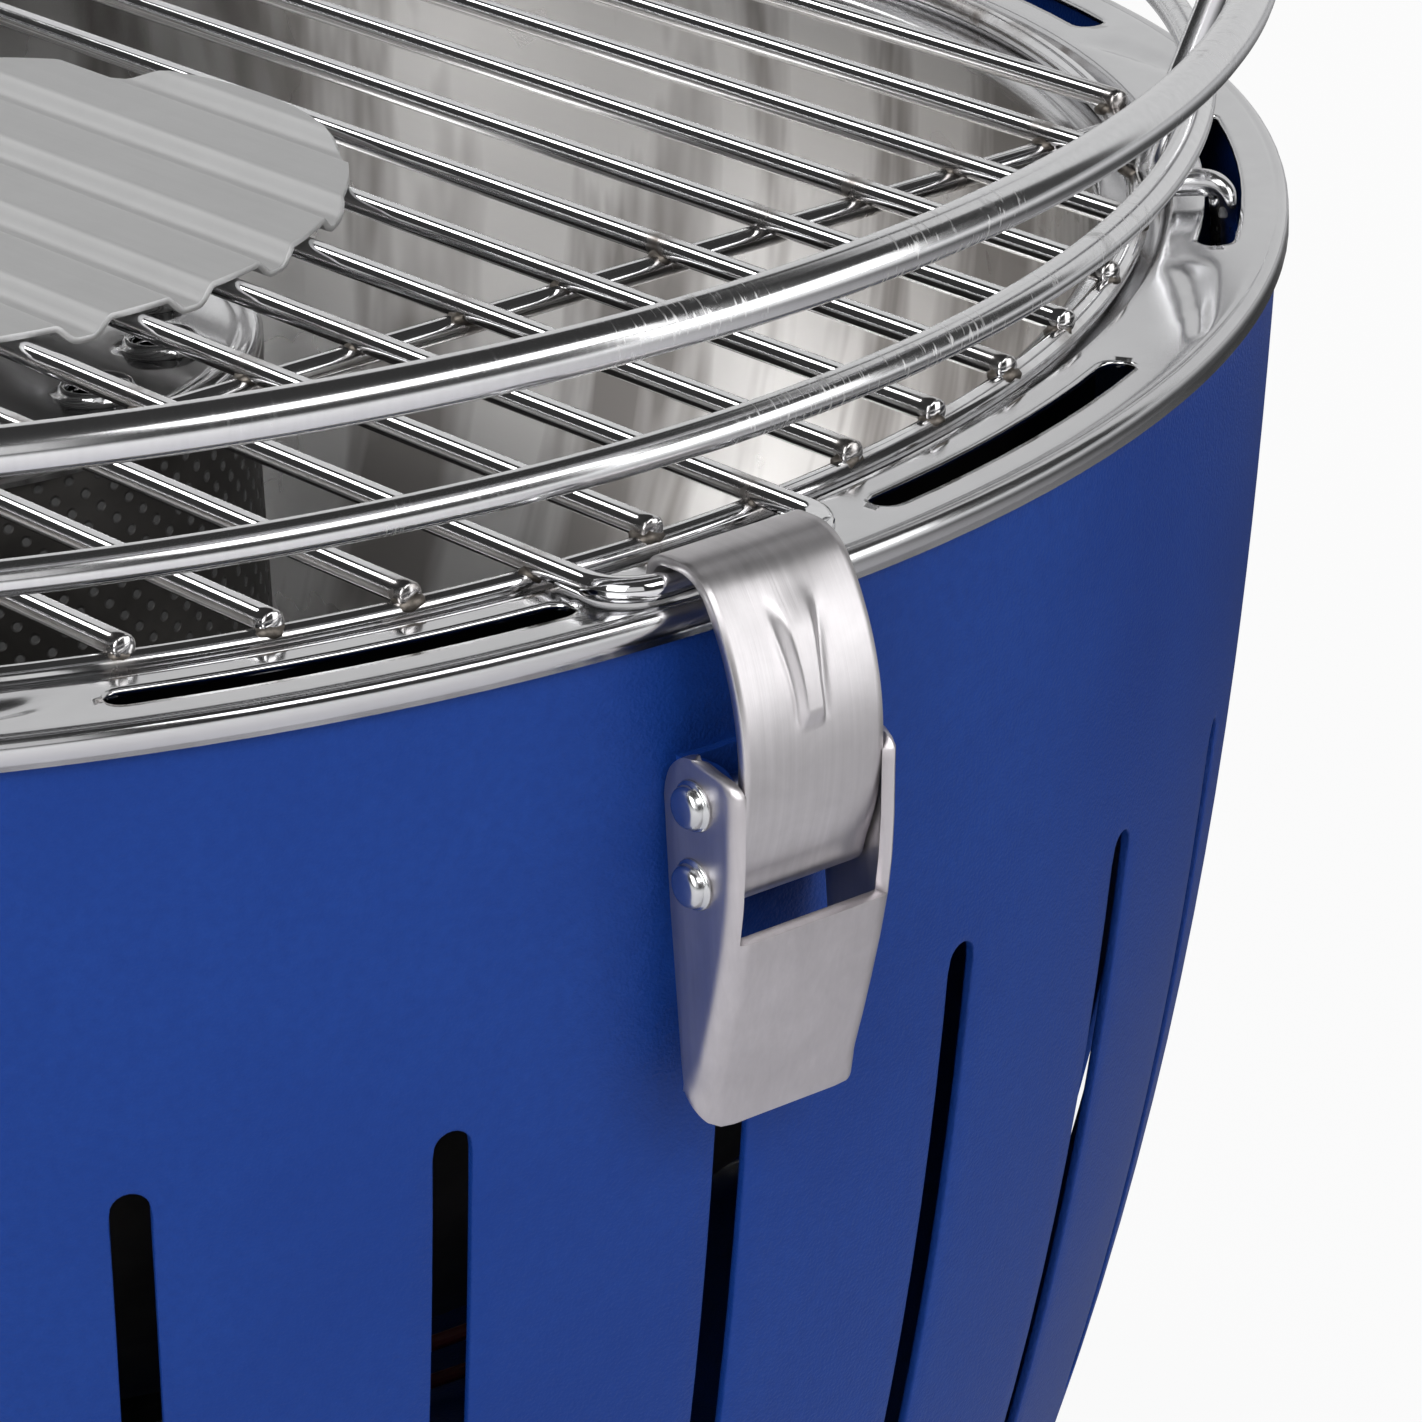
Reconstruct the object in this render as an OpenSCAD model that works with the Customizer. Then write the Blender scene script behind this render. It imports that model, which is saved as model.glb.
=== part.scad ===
// Portable tabletop charcoal grill. A slotted, painted outer bowl carries a polished inner bowl,
// a perforated charcoal basket, a fan that feeds it with air, and a wire grate with two rails.
// Two over-centre latches, at the front (-Y) and the rear (+Y), hold the grate down.
// Origin: centre of the feet on the table, +Z up, millimetres.

/* [Outer bowl] */
// Height of the grill's rim above the table
rim_z = 201; // [196:1:216]
// Outer radius of the painted bowl at its top edge
bowl_r = 174.2; // [165:0.1:185]
// How much the bowl's radius shrinks from the top edge to the bottom turn
bowl_draw = 37.4; // [35:0.2:40]
// Sheet thickness of the painted bowl
bowl_t = 1.2; // [1:0.1:1.4]
// Height of the rounded turn between wall and floor
turn_h = 18; // [16:1:20]
// Number of air slots round the wall
slot_n = 29; // [24:1:32]
// Width of an air slot
slot_w = 4.6; // [3:0.1:6]
// Top of the air slots, below the rim
slot_top_drop = 56.4; // [50:0.5:64]
// Bottom of the air slots, above the table
slot_low_z = 52; // [50:1:70]

/* [Feet] */
// Height of a rubber foot
foot_h = 8; // [7:0.5:10]
// Radius of a rubber foot
foot_r = 12; // [9:0.5:14]
// Distance of the feet from the centre
foot_at_r = 88; // [86:1:92]
// Shank radius of every small screw
screw_r = 2; // [1.5:0.1:2.2]
// Head radius of every small screw
screw_head_r = 3.8; // [3.2:0.1:4.5]
// Head height of every small screw
screw_head_h = 2.2; // [1.6:0.1:2.6]

/* [Inner bowl] */
// Sheet thickness of the inner bowl, basket, lid and tray
sheet_t = 0.8; // [0.6:0.1:1]
// How far the lip that wraps over the painted bowl stands out beyond it
lip_over = 1; // [1:0.1:1.8]
// Height of that lip
lip_h = 3.5; // [3:0.1:5]
// Width of the flat flange, from the lip's outside
flange_w = 14.2; // [13.6:0.1:14.8]
// Depth of the ledge that carries the grate's ring, below the rim
ledge_drop = 2.1; // [2.1:0.1:2.6]
// Width of that ledge
ledge_w = 8.5; // [7:0.1:11]
// Depth of the inner bowl's floor below the rim
inner_depth = 115; // [112:1:118]
// Radius of the inner bowl's flat floor
inner_floor_r = 84; // [78:1:90]
// Radius of the air opening in the inner bowl's floor
air_hole_r = 26; // [25:0.5:28]
// Number of long slots in the flange
rim_slot_n = 11; // [11:1:11]
// Half the angle that one flange slot spans
rim_slot_half = 9.1; // [8:0.1:10]
// Width of a flange slot
rim_slot_w = 4.5; // [4:0.1:5]
// Distance of the flange slots' centre line from the lip's outside
rim_slot_in = 7.95; // [7.6:0.05:8.4]
// Angle of the first flange slot, from the front latch toward +X
rim_slot_first = 17.6; // [17:0.1:18.2]

/* [Charcoal basket] */
// Outer radius of the basket
basket_r = 46; // [44:0.5:50]
// Height of the basket
basket_h = 99.2; // [90:0.2:104]
// Height of the basket's own floor above the inner bowl's floor
basket_floor_h = 15; // [14:0.5:18]
// Air holes round the basket, in one row
basket_hole_n = 18; // [12:1:22]
// Rows of air holes
basket_rows = 3; // [2:1:4]
// Radius of an air hole
basket_hole_r = 2.5; // [1.5:0.1:3]
// Number of vent holes in the basket's lid
vent_n = 12; // [8:1:12]
// Radius of a vent hole
vent_r = 3.75; // [3:0.05:4]
// Radius of the circle of vent holes
vent_at_r = 35.3; // [33:0.1:37]
// Radius of the ignition tray
tray_r = 40; // [36:0.5:42]
// Depth of the ignition tray
tray_h = 3.4; // [3:0.1:3.8]

/* [Grate] */
// Wire diameter of bars, ring and cross rods
bar_d = 3; // [2.8:0.1:3.2]
// Distance between bars
bar_pitch = 15.25; // [14.5:0.05:16]
// Bars on each side of the middle bar
bar_side_n = 9; // [8:1:9]
// How far the bars reach past the ring's centre line
bar_over = 0.94; // [0.5:0.02:1.5]
// Height of the bars' centre line above the rim
bar_up = 1.8; // [1.7:0.1:2]
// Distance of the ring's centre line from the flange's inner edge
ring_in = 3.94; // [3.4:0.02:4.4]
// How deep crossed wires are welded into each other
weld_sink = 0.9; // [0.5:0.1:1]
// Distance of the two cross rods from the middle
cross_rod_y = 82; // [74:1:90]
// Distance of a latch loop's cross wire from the lip's outside
loop_in = 3.2; // [2.8:0.1:3.6]
// Corner radius of a latch loop
loop_corner_r = 6; // [4:0.1:7]
// Distance of the lower rail's centre line from the lip's outside
rail_low_in = 10.42; // [9.8:0.02:11.2]
// Height of the lower rail above the rim
rail_low_up = 13.8; // [13:0.1:16]
// Wire diameter of the lower rail
rail_low_d = 4; // [3.6:0.1:4.4]
// How much larger the upper rail's radius is than the lower rail's
rail_flare = 7.58; // [7:0.02:8]
// Height of the upper rail above the rim
rail_top_up = 30.3; // [28:0.1:34]
// Wire diameter of the upper rail
rail_top_d = 5.4; // [5:0.1:5.8]
// Wire diameter of the rail posts
post_d = 3.4; // [3.2:0.1:3.5]
// Angle of the front posts, from the front latch
post_front_a = 47; // [44:1:52]
// Angle of the rear posts, from the front latch
post_rear_a = 145; // [142:1:150]
// Radius of the corrugated plate over the middle of the grate
plate_r = 59.5; // [54:0.5:64]
// Sheet thickness of that plate
plate_t = 0.8; // [0.6:0.1:1]
// Depth of the plate's grooves
groove_h = 2; // [1.5:0.1:2.4]

/* [Latches] */
// How far the lever's pivot lies outside the lip
pivot_out = 2.3; // [2.3:0.1:2.8]
// Depth of the pivot below the rim
pivot_drop = 21.5; // [21:0.1:22]
// Distance from the pivot down to the claw's pin
pin_drop = 9.3; // [9:0.1:9.6]
// Outer width of the lever
lever_w = 22.8; // [22.6:0.1:24]
// Sheet thickness of the lever
lever_t = 1.4; // [1.2:0.1:1.4]
// Width of the claw
claw_w = 19; // [18:0.1:19.2]
// Sheet thickness of the claw
claw_t = 1.2; // [1:0.1:1.3]
// Shank radius of the pivot rivet and of the claw's pin
rivet_r = 2; // [1.6:0.1:2.1]
// Head radius of the rivets
rivet_head_r = 3; // [2.6:0.1:3.2]
// Sheet thickness of the brackets
bracket_t = 1.6; // [1.2:0.1:1.6]

/* [Fan and control] */
// Outer radius of the fan housing
housing_r = 56; // [54:0.5:58]
// Height of the fan housing
housing_h = 46.8; // [44:0.2:48]
// Wall thickness of moulded pieces
mould_t = 1.5; // [1.2:0.1:1.8]
// Radius of the fan rotor
rotor_r = 40; // [34:0.5:44]
// Height of the rotor's blades
blade_h = 13; // [8:0.5:13]
// Number of rotor blades
blade_n = 10; // [6:1:14]
// Radius of the motor
motor_r = 12; // [10:0.5:14]
// Height of the motor
motor_h = 22; // [18:0.5:23]
// Radius of the air collar over the fan
collar_r = 24; // [22:0.5:24]
// Radius of the heat shield
shield_r = 70; // [64:1:76]
// Height of the control knob's axis above the table
knob_z = 30; // [28:0.5:32]
// Radius of the control knob
knob_r = 16; // [13:0.5:17]
// Length of the control knob
knob_l = 16; // [12:0.5:18]
// Radius of the control shaft
shaft_r = 3; // [2.5:0.1:3.4]

/* [Batteries] */
// Diameter of one cell
cell_d = 14.5; // [14.5:0.1:14.6]
// Length of one cell
cell_l = 50.5; // [50:0.1:50.6]
// Way between the fan housing and the battery case
case_gap = 8; // [6:0.5:9]

/* [Hidden] */
$fn = 64;

// Clearances
touch = 0.05;       // between pieces of one body that are welded or pressed together
seat = 0.3;         // between round pieces that lie on each other
pin_play = 0.1;     // radial play of a turning pin
over = 1;           // how far a cutter runs past what it cuts

// Bowl
bowl_top_z = rim_z - sheet_t;
turn_z = foot_h + turn_h;
floor_z = foot_h + bowl_t;
wall_steps = 10;
turn_steps = 6;
draw_end_slope = 0.418 + 2 * 0.263 + 3 * 0.319;
turn_a = atan(bowl_draw * draw_end_slope / (bowl_top_z - turn_z));
turn_r = turn_h / (1 - sin(turn_a));
turn_x = wall_r(turn_z) - turn_r * cos(turn_a);
slot_top_z = rim_z - slot_top_drop;

// Inner bowl
lip_r = bowl_r + lip_over;
flange_in_r = lip_r - flange_w;
ledge_in_r = flange_in_r - ledge_w;
rim_slot_r = lip_r - rim_slot_in;
inner_floor_z = rim_z - inner_depth;
ledge_z = rim_z - ledge_drop;
inner_steps = 9;

// Basket
basket_top_z = inner_floor_z + basket_h;
basket_floor_z = inner_floor_z + basket_floor_h;
basket_hole_gap = (basket_h - basket_floor_h) / (basket_rows + 1);
tray_floor_z = inner_floor_z + 5;
tray_skirt_r = 31;
lid_skirt_h = 4;

// Grate
wire_r = bar_d / 2;
ring_r = flange_in_r - ring_in;
bar_end_r = ring_r + bar_over;
loop_y = lip_r - loop_in;
rail_low_r = lip_r - rail_low_in;
rail_top_r = rail_low_r + rail_flare;
bar_z = rim_z + bar_up;
ring_z = bar_z - bar_d + weld_sink;
rail_low_z = rim_z + rail_low_up;
rail_top_z = rim_z + rail_top_up;
rail_weld = 0.5;
post_r = post_d / 2;
plate_under_z = bar_z + wire_r + 0.2;

// Latch, in a side view: q is the distance from the grill's axis, z the height
pivot_q = lip_r + pivot_out;
pivot_z = rim_z - pivot_drop;
pin_z = pivot_z - pin_drop;
pin_q = pivot_q - 0.6;
hook_in_r = 2.1;
hook_out_r = hook_in_r + claw_t;
hook_top_z = bar_z + hook_out_r;
claw_arc_r = 33.1;
claw_arc_q = pivot_q - 26.3;
claw_arc_z = rim_z - 14.8;
claw_bend_r = 6.5;
claw_bend_a = asin((hook_top_z - claw_bend_r - claw_arc_z) / (claw_arc_r - claw_bend_r));
eye_r = rivet_r + 1.2;
ear_r = 5.2;
lever_in_w = lever_w - 2 * lever_t;
bracket_w = lever_in_w - 0.8;
plate_top_drop = 36.6;
plate_low_drop = 61.6;
lever_corner_r = 5;

// Fan
housing_top_z = floor_z + housing_h;
motor_z = floor_z + mould_t;
rotor_z = housing_top_z - blade_h - 5;
cover_t = 2;
collar_top_z = inner_floor_z - sheet_t - 2;
shield_z = housing_top_z + cover_t + 8;
housing_screw_r = 45;
fan_shaft_r = 1.5;

// Control
knob_x = side_at(knob_z) + 9;
bezel_r = knob_r + 1.5;
switch_x = turn_x - 13;
switch_l = 9;
switch_w = 18;
switch_h = 18;

// Batteries
cell_gap = 0.3;
case_x = housing_r + case_gap;
cell_pitch = cell_d + cell_gap;
case_t = 1.6;
case_w = 2 * cell_pitch + 2 * case_t + cell_gap;
case_l = cell_l + 12;
case_h = 2 * cell_pitch + case_t + 1;
case_far_x = case_x + case_w;
case_mid_x = (case_x + case_far_x) / 2;
case_top_z = floor_z + case_h;
lip_w = 3;
lid_t = 1.6;
grip_w = 16;
cell_z = floor_z + case_t + cell_d / 2 + cell_gap;

// Wall radius of the painted bowl, outside, at height z
function wall_share(z) = (bowl_top_z - z) / (bowl_top_z - turn_z);
function wall_curve(s) = 0.418 * s + 0.263 * s * s + 0.319 * s * s * s;
function wall_r(z) = bowl_r - bowl_draw * wall_curve(wall_share(z));

// Outside radius at any height, through the turn as well
function side_at(z) = z >= turn_z ? wall_r(z)
    : turn_x + sqrt(turn_r * turn_r - pow(foot_h + turn_r - z, 2));

// Outside of the bowl from the top edge down to the axis
function bowl_path() = concat(
    [for (i = [0 : wall_steps])
        let (z = bowl_top_z + (turn_z - bowl_top_z) * i / wall_steps) [wall_r(z), z]],
    [for (i = [1 : turn_steps])
        let (a = -turn_a - (90 - turn_a) * i / turn_steps)
        [turn_x + turn_r * cos(a), foot_h + turn_r + turn_r * sin(a)]],
    [[0, foot_h]]);

function unit(v) = v / norm(v);
function left_of(v) = [-v[1], v[0]];
function way(p, i) = unit(p[i] - p[i - 1]);

// A path moved to its left by d, with mitred corners
function shifted(p, d) = [for (i = [0 : len(p) - 1])
    let (a = left_of(way(p, max(i, 1))),
         b = left_of(way(p, min(i + 1, len(p) - 1))),
         n = unit(a + b))
    p[i] + n * d / (n * a)];
function reversed(p) = [for (i = [len(p) - 1 : -1 : 0]) p[i]];

// Closed outline of a sheet of thickness t on the left of a path
function sheet(p, t) = concat(p, reversed(shifted(p, t)));

// Points of an arc round [x, y], from angle a to angle b
function arc(x, y, r, a, b, n) = [for (i = [0 : n])
    [x + r * cos(a + (b - a) * i / n), y + r * sin(a + (b - a) * i / n)]];

// Direction of the angle a, which counts from the front latch toward +X
module facing(a) rotate([0, 0, a - 90]) children();

module torus(r, wire) rotate_extrude() translate([r, 0]) circle(wire);

// Ring of a wire's outline at one point of its path, square to the mean of the two ways
function wire_ring(p, i, r, sides) =
    let (into = unit(p[max(i, 1)] - p[max(i, 1) - 1]),
         out = unit(p[min(i + 1, len(p) - 1)] - p[min(i + 1, len(p) - 1) - 1]),
         along = unit(into + out),
         across = unit(cross(along, abs(along[2]) > 0.99 ? [0, 1, 0] : [0, 0, 1])),
         up = cross(across, along))
    [for (k = [0 : sides - 1]) p[i] + r * (across * cos(k * 360 / sides) + up * sin(k * 360 / sides))];

// A bent wire as one closed tube along a list of points
module wire_path(p, r, sides = 12) {
    points = [for (i = [0 : len(p) - 1], q = wire_ring(p, i, r, sides)) q];
    skin = [for (i = [0 : len(p) - 2], k = [0 : sides - 1])
        let (a = i * sides + k, b = i * sides + (k + 1) % sides)
        [a, b, b + sides, a + sides]];
    first = [for (k = [sides - 1 : -1 : 0]) k];
    last = [for (k = [0 : sides - 1]) (len(p) - 1) * sides + k];
    polyhedron(points, concat(skin, [first, last]));
}

// The painted bowl's outside, grown by gap, as a solid to cut with
module bowl_cutter(gap) {
    side = [for (p = bowl_path()) [p[0] + (p[0] > 0 ? gap : 0), p[1]]];
    rotate_extrude()
        polygon(concat([[0, rim_z + over], [bowl_r + gap, rim_z + over]], side));
}

// ---------------------------------------------------------------- outer bowl and feet

module air_slot() {
    r = slot_w / 2;
    from = turn_x;
    length = lip_r - from;
    translate([from, -r, slot_low_z + r])
        cube([length, slot_w, slot_top_z - slot_low_z - slot_w]);
    for (z = [slot_low_z + r, slot_top_z - r])
        translate([from, 0, z]) rotate([0, 90, 0]) cylinder(r = r, h = length);
}

module foot_places() for (a = [45 : 90 : 315]) rotate([0, 0, a]) translate([foot_at_r, 0, 0]) children();
module housing_screw_places()
    for (a = [0 : 90 : 270]) rotate([0, 0, a + 15]) translate([housing_screw_r, 0, 0]) children();

module outer_bowl() color([0.10, 0.19, 0.48]) difference() {
    rotate_extrude() polygon(sheet(bowl_path(), -bowl_t));
    for (i = [0 : slot_n - 1]) facing(i * 360 / slot_n) air_slot();
    translate([0, 0, bowl_top_z]) cylinder(r = lip_r, h = over);
    foot_places() translate([0, 0, foot_h - over]) cylinder(r = screw_r + pin_play, h = bowl_t + 2 * over);
    housing_screw_places()
        translate([0, 0, foot_h - over]) cylinder(r = screw_r + pin_play, h = bowl_t + 2 * over);
    translate([turn_x, 0, knob_z]) rotate([0, 90, 0])
        cylinder(r = shaft_r + 0.4, h = lip_r - turn_x);
}

module rubber_feet() color([0.06, 0.06, 0.07]) foot_places() difference() {
    union() {
        cylinder(r1 = foot_r - 1.5, r2 = foot_r, h = 1.5);
        translate([0, 0, 1.5]) cylinder(r = foot_r, h = foot_h - 1.5);
    }
    translate([0, 0, foot_h / 2 - touch]) cylinder(r = screw_r + touch, h = foot_h);
}

module foot_screws() color([0.7, 0.7, 0.72]) foot_places() {
    translate([0, 0, foot_h / 2]) cylinder(r = screw_r, h = floor_z - foot_h / 2 + 0.5);
    translate([0, 0, floor_z]) cylinder(r = screw_head_r, h = screw_head_h);
}

// ---------------------------------------------------------------- fan

module fan_housing() color([0.09, 0.09, 0.10]) difference() {
    translate([0, 0, floor_z]) difference() {
        cylinder(r = housing_r, h = housing_h);
        translate([0, 0, mould_t]) cylinder(r = housing_r - mould_t, h = housing_h);
    }
    for (i = [0 : 11])
        rotate([0, 0, i * 30]) translate([housing_r - 3 * mould_t, -7, floor_z + 9])
            cube([4 * mould_t, 14, rotor_z - floor_z - 12]);
    housing_screw_places() translate([0, 0, foot_h]) cylinder(r = screw_r + pin_play, h = 2 * mould_t + bowl_t);
}

module housing_screws() color([0.7, 0.7, 0.72]) housing_screw_places() {
    translate([0, 0, foot_h - 2]) cylinder(r = screw_r, h = motor_z - foot_h + 2.5);
    translate([0, 0, motor_z]) cylinder(r = screw_head_r, h = screw_head_h);
}

module fan_motor() color([0.62, 0.63, 0.65]) difference() {
    translate([0, 0, motor_z]) union() {
        cylinder(r = motor_r, h = motor_h);
        cylinder(r = 4, h = motor_h + 2);
    }
    translate([0, 0, motor_z + 2]) cylinder(r = fan_shaft_r + pin_play, h = motor_h + over);
}

module fan_shaft() color([0.75, 0.75, 0.77])
    translate([0, 0, motor_z + 2 + touch]) cylinder(r = fan_shaft_r, h = rotor_z + blade_h - motor_z - 3);

module fan_rotor() color([0.15, 0.15, 0.16]) difference() {
    translate([0, 0, rotor_z]) union() {
        cylinder(r = 7, h = blade_h);
        cylinder(r = rotor_r, h = mould_t);
        for (i = [0 : blade_n - 1])
            rotate([0, 0, i * 360 / blade_n]) translate([5, -0.8, 0]) cube([rotor_r - 6, 1.6, blade_h]);
    }
    translate([0, 0, rotor_z - over]) cylinder(r = fan_shaft_r + touch, h = blade_h + 2 * over);
}

module fan_cover() color([0.09, 0.09, 0.10]) translate([0, 0, housing_top_z]) difference() {
    union() {
        cylinder(r = housing_r, h = cover_t);
        cylinder(r = collar_r, h = collar_top_z - housing_top_z);
        translate([0, 0, -2]) cylinder(r = housing_r - mould_t - touch, h = 2);
    }
    translate([0, 0, -over]) cylinder(r = collar_r - mould_t, h = collar_top_z);
    translate([0, 0, -2 - over]) cylinder(r = housing_r - 3 * mould_t, h = 2 + over);
}

module heat_shield() color([0.72, 0.72, 0.74]) {
    translate([0, 0, shield_z]) difference() {
        cylinder(r = shield_r, h = sheet_t);
        translate([0, 0, -over]) cylinder(r = collar_r + 2, h = sheet_t + 2 * over);
    }
    for (a = [0 : 120 : 240])
        rotate([0, 0, a + 30]) translate([(collar_r + housing_r) / 2, 0, housing_top_z + cover_t])
            cylinder(r = 2.5, h = shield_z - housing_top_z - cover_t + sheet_t / 2);
}

// ---------------------------------------------------------------- batteries

module battery_case() color([0.09, 0.09, 0.10]) {
    difference() {
        translate([-case_far_x, -case_l / 2, floor_z]) cube([case_w, case_l, case_h]);
        translate([-case_far_x + case_t, -case_l / 2 + case_t, floor_z + case_t])
            cube([case_w - 2 * case_t, case_l - 2 * case_t, case_h]);
        translate([-case_x - 2 * case_t, case_l / 2 - 10, floor_z + 6])
            rotate([0, 90, 0]) cylinder(r = 1.6, h = 4 * case_t);
    }
    for (x = [-case_far_x - lip_w, -case_x - touch])
        translate([x, -case_l / 2, case_top_z - lid_t])
            cube([lip_w + touch, case_l, lid_t]);
}

// The lid's two long edges fold under the case's lips, so it slides along Y
module battery_lid() color([0.13, 0.13, 0.14]) {
    out_w = case_w + 2 * lip_w + 2 * seat + 2 * lid_t;
    x0 = -case_mid_x - out_w / 2;
    hem_z = case_top_z - 2 * lid_t - seat;
    translate([x0, -case_l / 2, case_top_z + touch]) cube([out_w, case_l, lid_t]);
    for (x = [x0, x0 + out_w - lid_t])
        translate([x, -case_l / 2, hem_z]) cube([lid_t, case_l, case_top_z + touch + lid_t - hem_z]);
    for (x = [x0, x0 + out_w - lid_t - lip_w + seat])
        translate([x, -case_l / 2, hem_z]) cube([lid_t + lip_w - seat, case_l, lid_t]);
    translate([-case_mid_x - grip_w / 2, case_l / 2 - grip_w / 2, case_top_z + lid_t])
        cube([grip_w, 2, 1.5]);
}

module battery_cells() color([0.30, 0.31, 0.34])
    for (x = [-cell_pitch / 2, cell_pitch / 2], z = [cell_z, cell_z + cell_pitch])
        translate([-case_mid_x + x, -cell_l / 2, z]) rotate([-90, 0, 0]) {
            cylinder(r = cell_d / 2, h = cell_l - 1.2);
            cylinder(r = 2.7, h = cell_l);
        }

module battery_contacts() color([0.78, 0.78, 0.80])
    for (end = [-1, 1], x = [-cell_pitch / 2, cell_pitch / 2])
        translate([-case_mid_x + x, end * (case_l / 2 - case_t - 0.3), floor_z + case_t + cell_gap]) {
            translate([-5, -0.25, 0]) cube([10, 0.5, case_h - 2 * case_t]);
            for (z = [0, cell_pitch])
                translate([0, -end * (0.2), cell_d / 2 + z]) rotate([end * 90, 0, 0])
                    cylinder(r1 = 4, r2 = 2.5, h = (case_l - cell_l) / 2 - case_t - 0.3 - 0.3);
        }

// ---------------------------------------------------------------- control

module along_x(x, z) translate([x, 0, z]) rotate([0, 90, 0]) children();

module switch_bracket() color([0.72, 0.72, 0.74]) difference() {
    union() {
        translate([switch_x + switch_l, -12, floor_z]) cube([mould_t, 24, knob_z + 12 - floor_z]);
        translate([switch_x - 5, -12, floor_z]) cube([switch_l + 5 + over / 2, 24, mould_t]);
    }
    along_x(switch_x, knob_z) cylinder(r = shaft_r + 0.4, h = 2 * switch_l);
}

module switch_body() color([0.16, 0.20, 0.16]) difference() {
    translate([switch_x, -switch_w / 2, knob_z - switch_h / 2])
        cube([switch_l - touch, switch_w, switch_h]);
    along_x(switch_x + switch_l / 2, knob_z) cylinder(r = shaft_r + pin_play, h = switch_l);
}

module control_shaft() color([0.75, 0.75, 0.77])
    along_x(switch_x + switch_l / 2 + touch, knob_z)
        cylinder(r = shaft_r, h = knob_x + knob_l * 0.7 - switch_x - switch_l / 2);

module knob_bezel() color([0.09, 0.09, 0.10]) difference() {
    along_x(turn_x, knob_z) cylinder(r = bezel_r, h = knob_x - seat - turn_x);
    bowl_cutter(touch);
    along_x(turn_x, knob_z) cylinder(r = shaft_r + pin_play, h = lip_r - turn_x);
}

module control_knob() color([0.07, 0.07, 0.08]) difference() {
    along_x(knob_x, knob_z) {
        cylinder(r = knob_r, h = knob_l - 1.5);
        translate([0, 0, knob_l - 1.5]) cylinder(r1 = knob_r, r2 = knob_r - 1.5, h = 1.5);
        translate([-1, -1.2, knob_l - 1]) translate([-knob_r + 5, 0, 0]) cube([knob_r - 6, 2.4, 1.8]);
    }
    along_x(knob_x - over, knob_z) cylinder(r = shaft_r + touch, h = knob_l * 0.7 + over + 0.5);
}

// Two leads: cells to switch round the fan housing, and switch to motor
module wiring() color([0.65, 0.08, 0.07]) {
    lead_r = 1.1;
    lead_z = floor_z + lead_r + 0.1;
    way_r = housing_r + 6;
    lead_y = case_l / 2 - 10;
    wire_path(concat(
        [[-case_x + 0.2, lead_y, floor_z + 6]],
        [for (a = [150 : -20 : 10]) [way_r * cos(a), way_r * sin(a), lead_z]],
        [[switch_x - 8, 5, lead_z + 2], [switch_x - 0.2, 5, knob_z - 6]]), lead_r);
    wire_path([[switch_x - 0.2, -5, knob_z - 6], [switch_x - 14, -3, floor_z + 14],
        [housing_r + 4, 0, floor_z + 13], [housing_r - 10, 0, floor_z + 13],
        [motor_r + 0.2, 0, floor_z + 8]], lead_r);
}

// ---------------------------------------------------------------- inner bowl, tray, basket

// Upper face of the inner bowl, from the lip's lower edge to the air hole
function inner_path() = concat(
    [[lip_r, rim_z - lip_h], [lip_r, rim_z - 0.6], [lip_r - 0.6, rim_z]],
    [[flange_in_r, rim_z], [flange_in_r - 1, ledge_z], [ledge_in_r, ledge_z]],
    [for (i = [0 : inner_steps])
        let (s = i / inner_steps,
             r = (ledge_in_r - 1.5) - (ledge_in_r - 1.5 - inner_floor_r) * pow(s, 1.8),
             z = ledge_z - 2 - (inner_depth - ledge_drop - 2) * sin(90 * pow(s, 0.9)))
        [r, z]],
    [[air_hole_r, inner_floor_z]]);

module rim_slot() {
    half_w = rim_slot_w / 2;
    end_a = rim_slot_half - asin(half_w / rim_slot_r);
    translate([0, 0, rim_z - sheet_t - over]) {
        rotate([0, 0, -end_a]) rotate_extrude(angle = 2 * end_a)
            translate([rim_slot_r - half_w, 0]) square([rim_slot_w, sheet_t + 2 * over]);
        for (a = [-end_a, end_a])
            rotate([0, 0, a]) translate([rim_slot_r, 0, 0]) cylinder(r = half_w, h = sheet_t + 2 * over);
    }
}

module inner_bowl() color([0.78, 0.78, 0.80]) difference() {
    rotate_extrude() polygon(sheet(inner_path(), sheet_t));
    for (i = [0 : rim_slot_n - 1]) facing(rim_slot_first + i * 360 / rim_slot_n) rim_slot();
}

module ignition_tray() color([0.76, 0.76, 0.78]) {
    rotate_extrude() polygon(sheet([[tray_r + 1.5, tray_floor_z + tray_h], [tray_r, tray_floor_z + tray_h],
        [tray_r - 4, tray_floor_z], [air_hole_r - 16, tray_floor_z],
        [air_hole_r - 17, tray_floor_z + tray_h / 2]], sheet_t));
    difference() {
        translate([0, 0, inner_floor_z])
            rotate_extrude() translate([tray_skirt_r, 0]) square([sheet_t, tray_floor_z - inner_floor_z - sheet_t]);
        for (i = [0 : 5])
            rotate([0, 0, 60 * i]) translate([tray_skirt_r - 3, -6, inner_floor_z - over])
                cube([8, 12, over + 2.6]);
    }
}

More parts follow.
